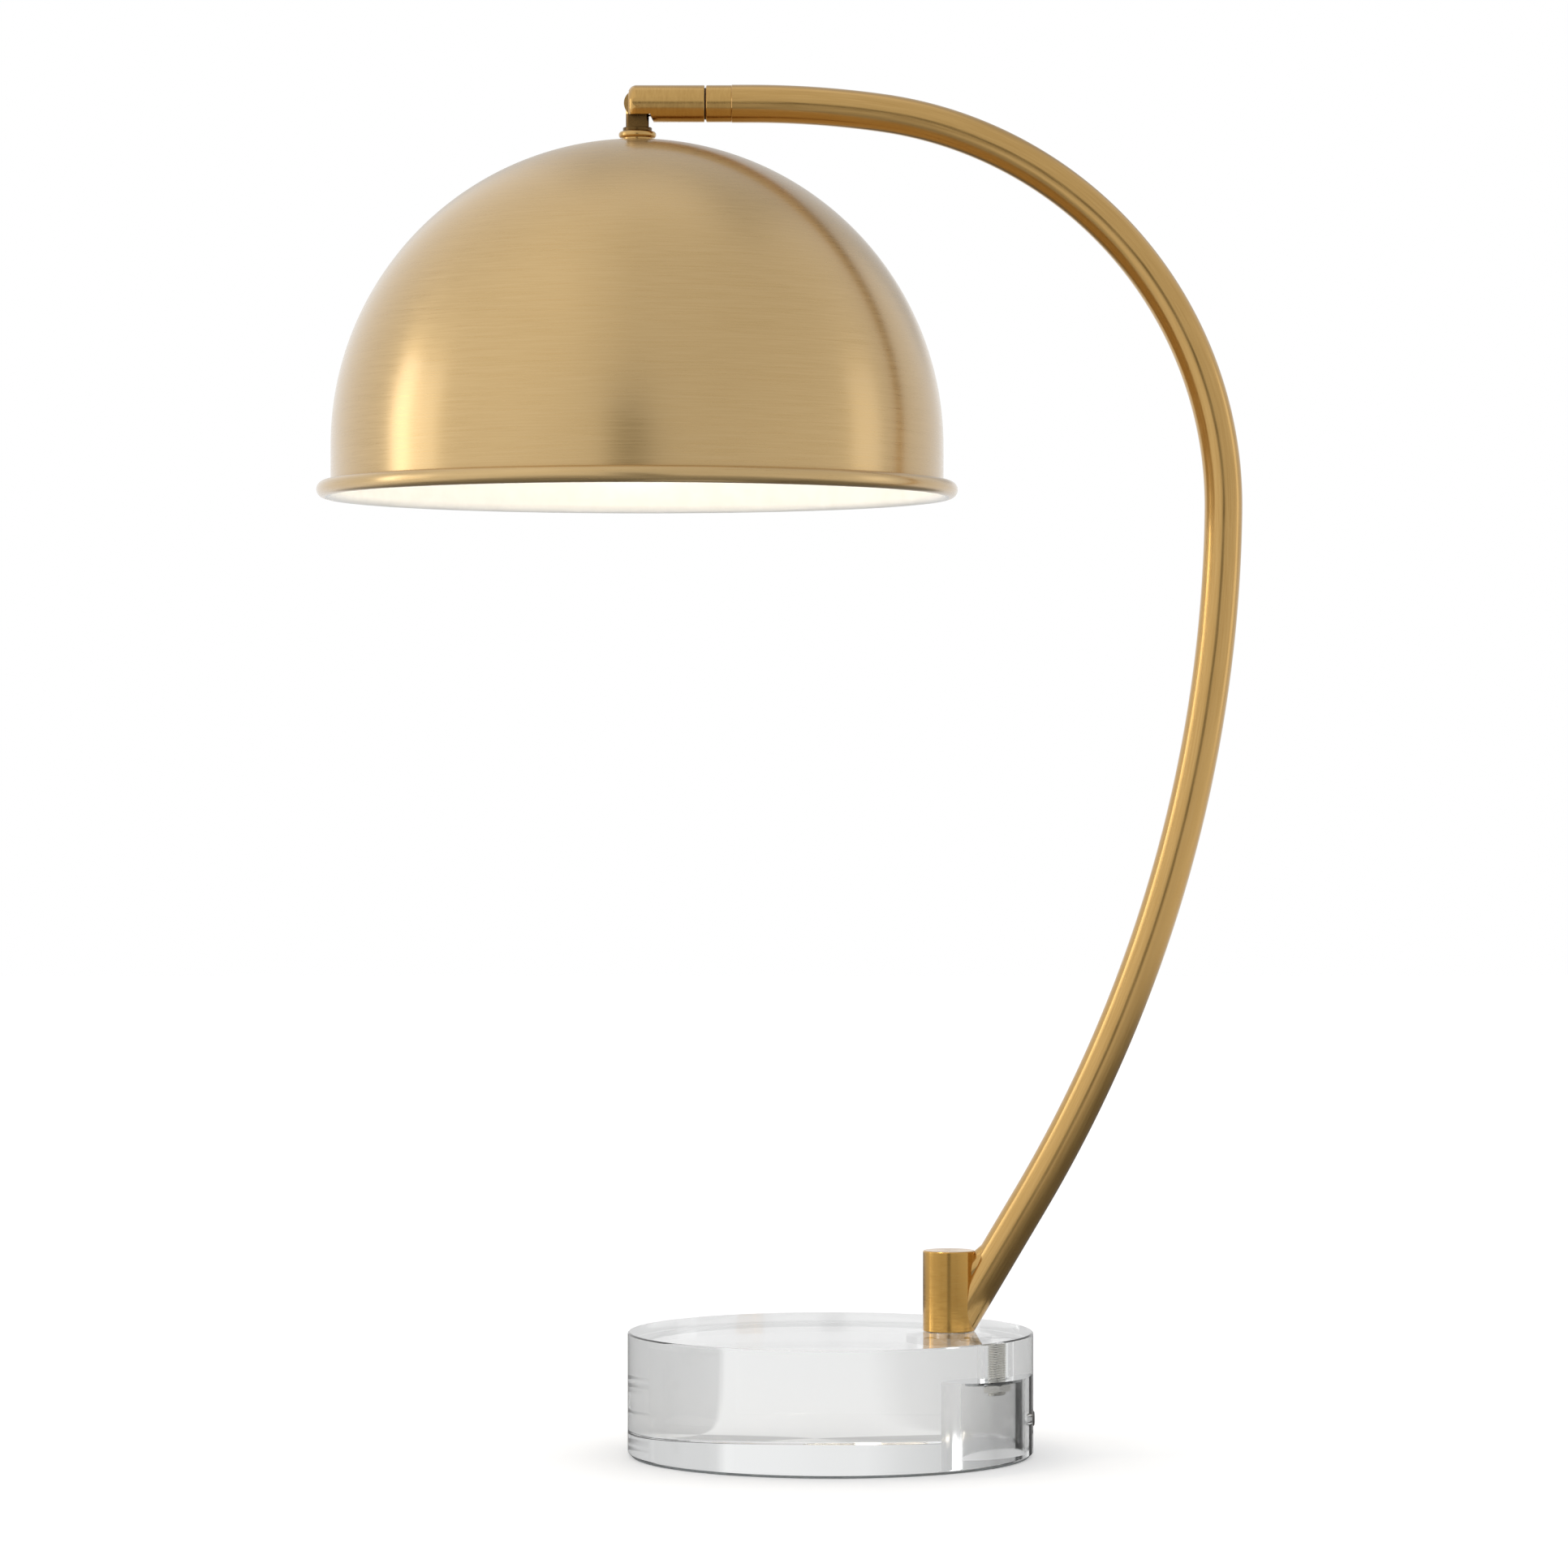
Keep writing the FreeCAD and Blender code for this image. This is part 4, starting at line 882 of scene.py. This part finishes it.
def floor_glow(tree, place, path):
    """Light that the floor itself adds: it runs out to white for the camera, is faint in the brass, and
    is strong through the block only where the block stands."""
    glow = add(tree, "Math", {"operation": "MULTIPLY", 1: 0.31}, {0: path.outputs["Is Camera Ray"]})
    reach = add(tree, "VectorMath", {"operation": "LENGTH"}, {0: place})
    beside, within = (base_radius + 1.0) * mm, (base_radius - 2.0) * mm
    footprint = add(tree, "MapRange", {"interpolation_type": "SMOOTHSTEP", "From Min": beside,
                                       "From Max": within, "To Min": 0.1, "To Max": 0.7},
                    {"Value": reach.outputs["Value"]})
    below = add(tree, "Math", {"operation": "MULTIPLY"},
                {0: path.outputs["Is Transmission Ray"], 1: footprint})
    glow = add(tree, "Math", {"operation": "ADD"}, {0: glow, 1: below})
    return add(tree, "Math", {"operation": "MULTIPLY_ADD", 1: 0.05},
               {0: path.outputs["Is Glossy Ray"], 2: glow})


def studio_floor():
    """White table that runs out to white, with the lamp's own contact shadow left on it. Mirrored and
    refracted rays find softer greys on it, so that brass and block show a room round them."""
    floor_size = 6.0
    bm = bmesh.new()
    bmesh.ops.create_grid(bm, x_segments=8, y_segments=8, size=floor_size)
    obj = blank("studio_floor", bm)
    material, tree = surface("studio_white")
    place = add(tree, "TexCoord").outputs["Object"]
    spot = add(tree, "SeparateXYZ", None, {0: place})
    path = add(tree, "LightPath")
    table = add(tree, "Mix", {"data_type": "RGBA", 6: ink("ECECEC")},
                {0: path.outputs["Is Glossy Ray"], 7: floor_in_brass(tree, spot)})
    table = add(tree, "Mix", {"data_type": "RGBA"},
                {0: path.outputs["Is Transmission Ray"], 6: table.outputs[2],
                 7: floor_through_block(tree, spot)})
    table = add(tree, "Mix", {"data_type": "RGBA", 7: ink("F2F2F2")},
                {0: path.outputs["Is Camera Ray"], 6: table.outputs[2]})
    white = add(tree, "BsdfPrincipled",
                {"Roughness": 0.9, "Specular IOR Level": 0.1, "Emission Color": ink("FFFFFF")},
                {"Base Color": table.outputs[2], "Emission Strength": floor_glow(tree, place, path)})
    close(tree, white)
    obj.data.materials.append(material)


def room_in_front(tree, away, across):
    """Pale grey room on the camera's side, darker round the camera, under a soft ceiling."""
    front = add(tree, "ValToRGB", {"stops": [(0.0, 1.0), (0.15, 1.0), (0.28, 0.93), (0.43, 0.80),
                                             (0.5, 0.73), (0.79, 0.73), (0.97, 0.78), (1.0, 0.85)]},
                {0: across})
    side = add(tree, "Math", {"operation": "ADD", 1: 0.04}, {0: away.outputs[0]})
    side = add(tree, "Math", {"operation": "ABSOLUTE"}, {0: side})
    level = add(tree, "Math", {"operation": "ABSOLUTE"}, {0: away.outputs[2]})
    narrow = add(tree, "MapRange", {"interpolation_type": "SMOOTHSTEP", "From Min": 0.04, "From Max": 0.2,
                                    "To Min": 1.0, "To Max": 0.0}, {"Value": side})
    flat = add(tree, "MapRange", {"interpolation_type": "SMOOTHSTEP", "From Min": 0.06, "From Max": 0.2,
                                  "To Min": 0.85, "To Max": 0.0}, {"Value": level})
    zone = add(tree, "Math", {"operation": "MULTIPLY"}, {0: narrow, 1: flat})
    keep = add(tree, "Math", {"operation": "SUBTRACT", 0: 1.0}, {1: zone})
    front = add(tree, "Mix", {"data_type": "RGBA", "blend_type": "MULTIPLY", 0: 1.0}, {6: front, 7: keep})
    ceiling = add(tree, "MapRange", {"interpolation_type": "SMOOTHSTEP", "From Min": 0.4, "From Max": 0.75},
                  {"Value": away.outputs[2]})
    above = add(tree, "ValToRGB", {"stops": [(0.0, 0.9), (0.3, 1.0), (0.5, 0.78), (1.0, 0.7)]},
                {0: across})
    return add(tree, "Mix", {"data_type": "RGBA"},
               {0: ceiling, 6: front.outputs[2], 7: above}).outputs[2]


def sweep_behind(tree, away, across, path):
    """Sweep behind the lamp: greys for the brass, darker high in the middle, and others for the block."""
    seen = add(tree, "ValToRGB", {"stops": [(0.0, 0.56), (0.32, 0.66), (0.39, 0.74), (0.45, 0.87),
                                            (0.68, 0.91), (0.70, 0.72), (1.0, 0.65)]}, {0: across})
    mirrored = add(tree, "ValToRGB", {"stops": [(0.0, 0.88), (0.3, 0.9), (0.42, 0.96), (0.58, 0.96),
                                                (0.7, 0.8), (1.0, 0.76)]}, {0: across})
    gloom = add(tree, "MapRange", {"interpolation_type": "SMOOTHSTEP", "From Min": 0.12, "From Max": 0.24,
                                   "To Max": 0.34}, {"Value": away.outputs[2]})
    # It fades out towards the top, the left and the right
    for start, stop, axis in ((0.99, 0.85, 2), (-0.3, -0.12, 0), (0.55, 0.38, 0)):
        edge = add(tree, "MapRange",
                   {"interpolation_type": "SMOOTHSTEP", "From Min": start, "From Max": stop},
                   {"Value": away.outputs[axis]})
        gloom = add(tree, "Math", {"operation": "MULTIPLY"}, {0: gloom, 1: edge})
    keep = add(tree, "Math", {"operation": "SUBTRACT", 0: 1.0}, {1: gloom})
    mirrored = add(tree, "Mix", {"data_type": "RGBA", "blend_type": "MULTIPLY", 0: 1.0},
                   {6: mirrored, 7: keep})
    sweep = add(tree, "Mix", {"data_type": "RGBA", 6: ink("EFEFEF")},
                {0: path.outputs["Is Glossy Ray"], 7: mirrored.outputs[2]})
    return add(tree, "Mix", {"data_type": "RGBA"},
               {0: path.outputs["Is Transmission Ray"], 6: sweep.outputs[2], 7: seen}).outputs[2]


def studio_world():
    """Surroundings by direction: the sweep behind and the room in front, but plain white for the camera."""
    world = bpy.data.worlds.new("studio")
    bpy.context.scene.world = world
    world.use_nodes = True
    tree = world.node_tree
    tree.nodes.clear()
    away = add(tree, "SeparateXYZ", None, {0: add(tree, "TexCoord").outputs["Generated"]})
    across = add(tree, "Math", {"operation": "MULTIPLY_ADD", 1: 0.5, 2: 0.5}, {0: away.outputs[0]})
    path = add(tree, "LightPath")
    behind = add(tree, "MapRange", {"interpolation_type": "SMOOTHSTEP", "From Min": -0.1, "From Max": 0.15},
                 {"Value": away.outputs[1]})
    room = add(tree, "Mix", {"data_type": "RGBA"},
               {0: behind, 6: room_in_front(tree, away, across),
                7: sweep_behind(tree, away, across, path)})
    room = add(tree, "Mix", {"data_type": "RGBA", 7: ink("FFFFFF")},
               {0: path.outputs["Is Camera Ray"], 6: room.outputs[2]})
    light = add(tree, "Background", {"Strength": 1.0}, {"Color": room.outputs[2]})
    add(tree, "OutputWorld", None, {"Surface": light})


def softbox(name, place, wide, tall, power):
    """Soft light in metres and watts, turned to a point in the lamp's upper half."""
    aim = Vector((0, 0, 0.4))
    lamp = bpy.data.lights.new(name, "AREA")
    lamp.shape = "RECTANGLE"
    lamp.size, lamp.size_y = wide, tall
    lamp.energy = power
    obj = bpy.data.objects.new(name, lamp)
    obj.location = place
    obj.rotation_euler = (aim - Vector(place)).to_track_quat("-Z", "Y").to_euler()
    obj.visible_camera = False
    bpy.context.scene.collection.objects.link(obj)


studio_floor()
studio_world()
softbox("softbox_left", (-1.6, -0.1, 0.55), wide=0.6, tall=0.95, power=1.1)
softbox("strip_left", (-1.6, 0.12, 0.55), wide=0.28, tall=0.95, power=1.05)
softbox("softbox_right", (1.6, 0.1, 0.55), wide=0.45, tall=0.95, power=0.6)

# Level camera in front of the lamp
lens = bpy.data.cameras.new("camera")
lens.lens = 130.83
lens.sensor_width = 36.0
camera = bpy.data.objects.new("camera", lens)
camera.location = (-0.0196, -2.4045, 0.28295)
camera.rotation_euler = (math.pi / 2, 0, 0)
bpy.context.scene.collection.objects.link(camera)
bpy.context.scene.camera = camera
bpy.context.scene.view_settings.view_transform = "Standard"
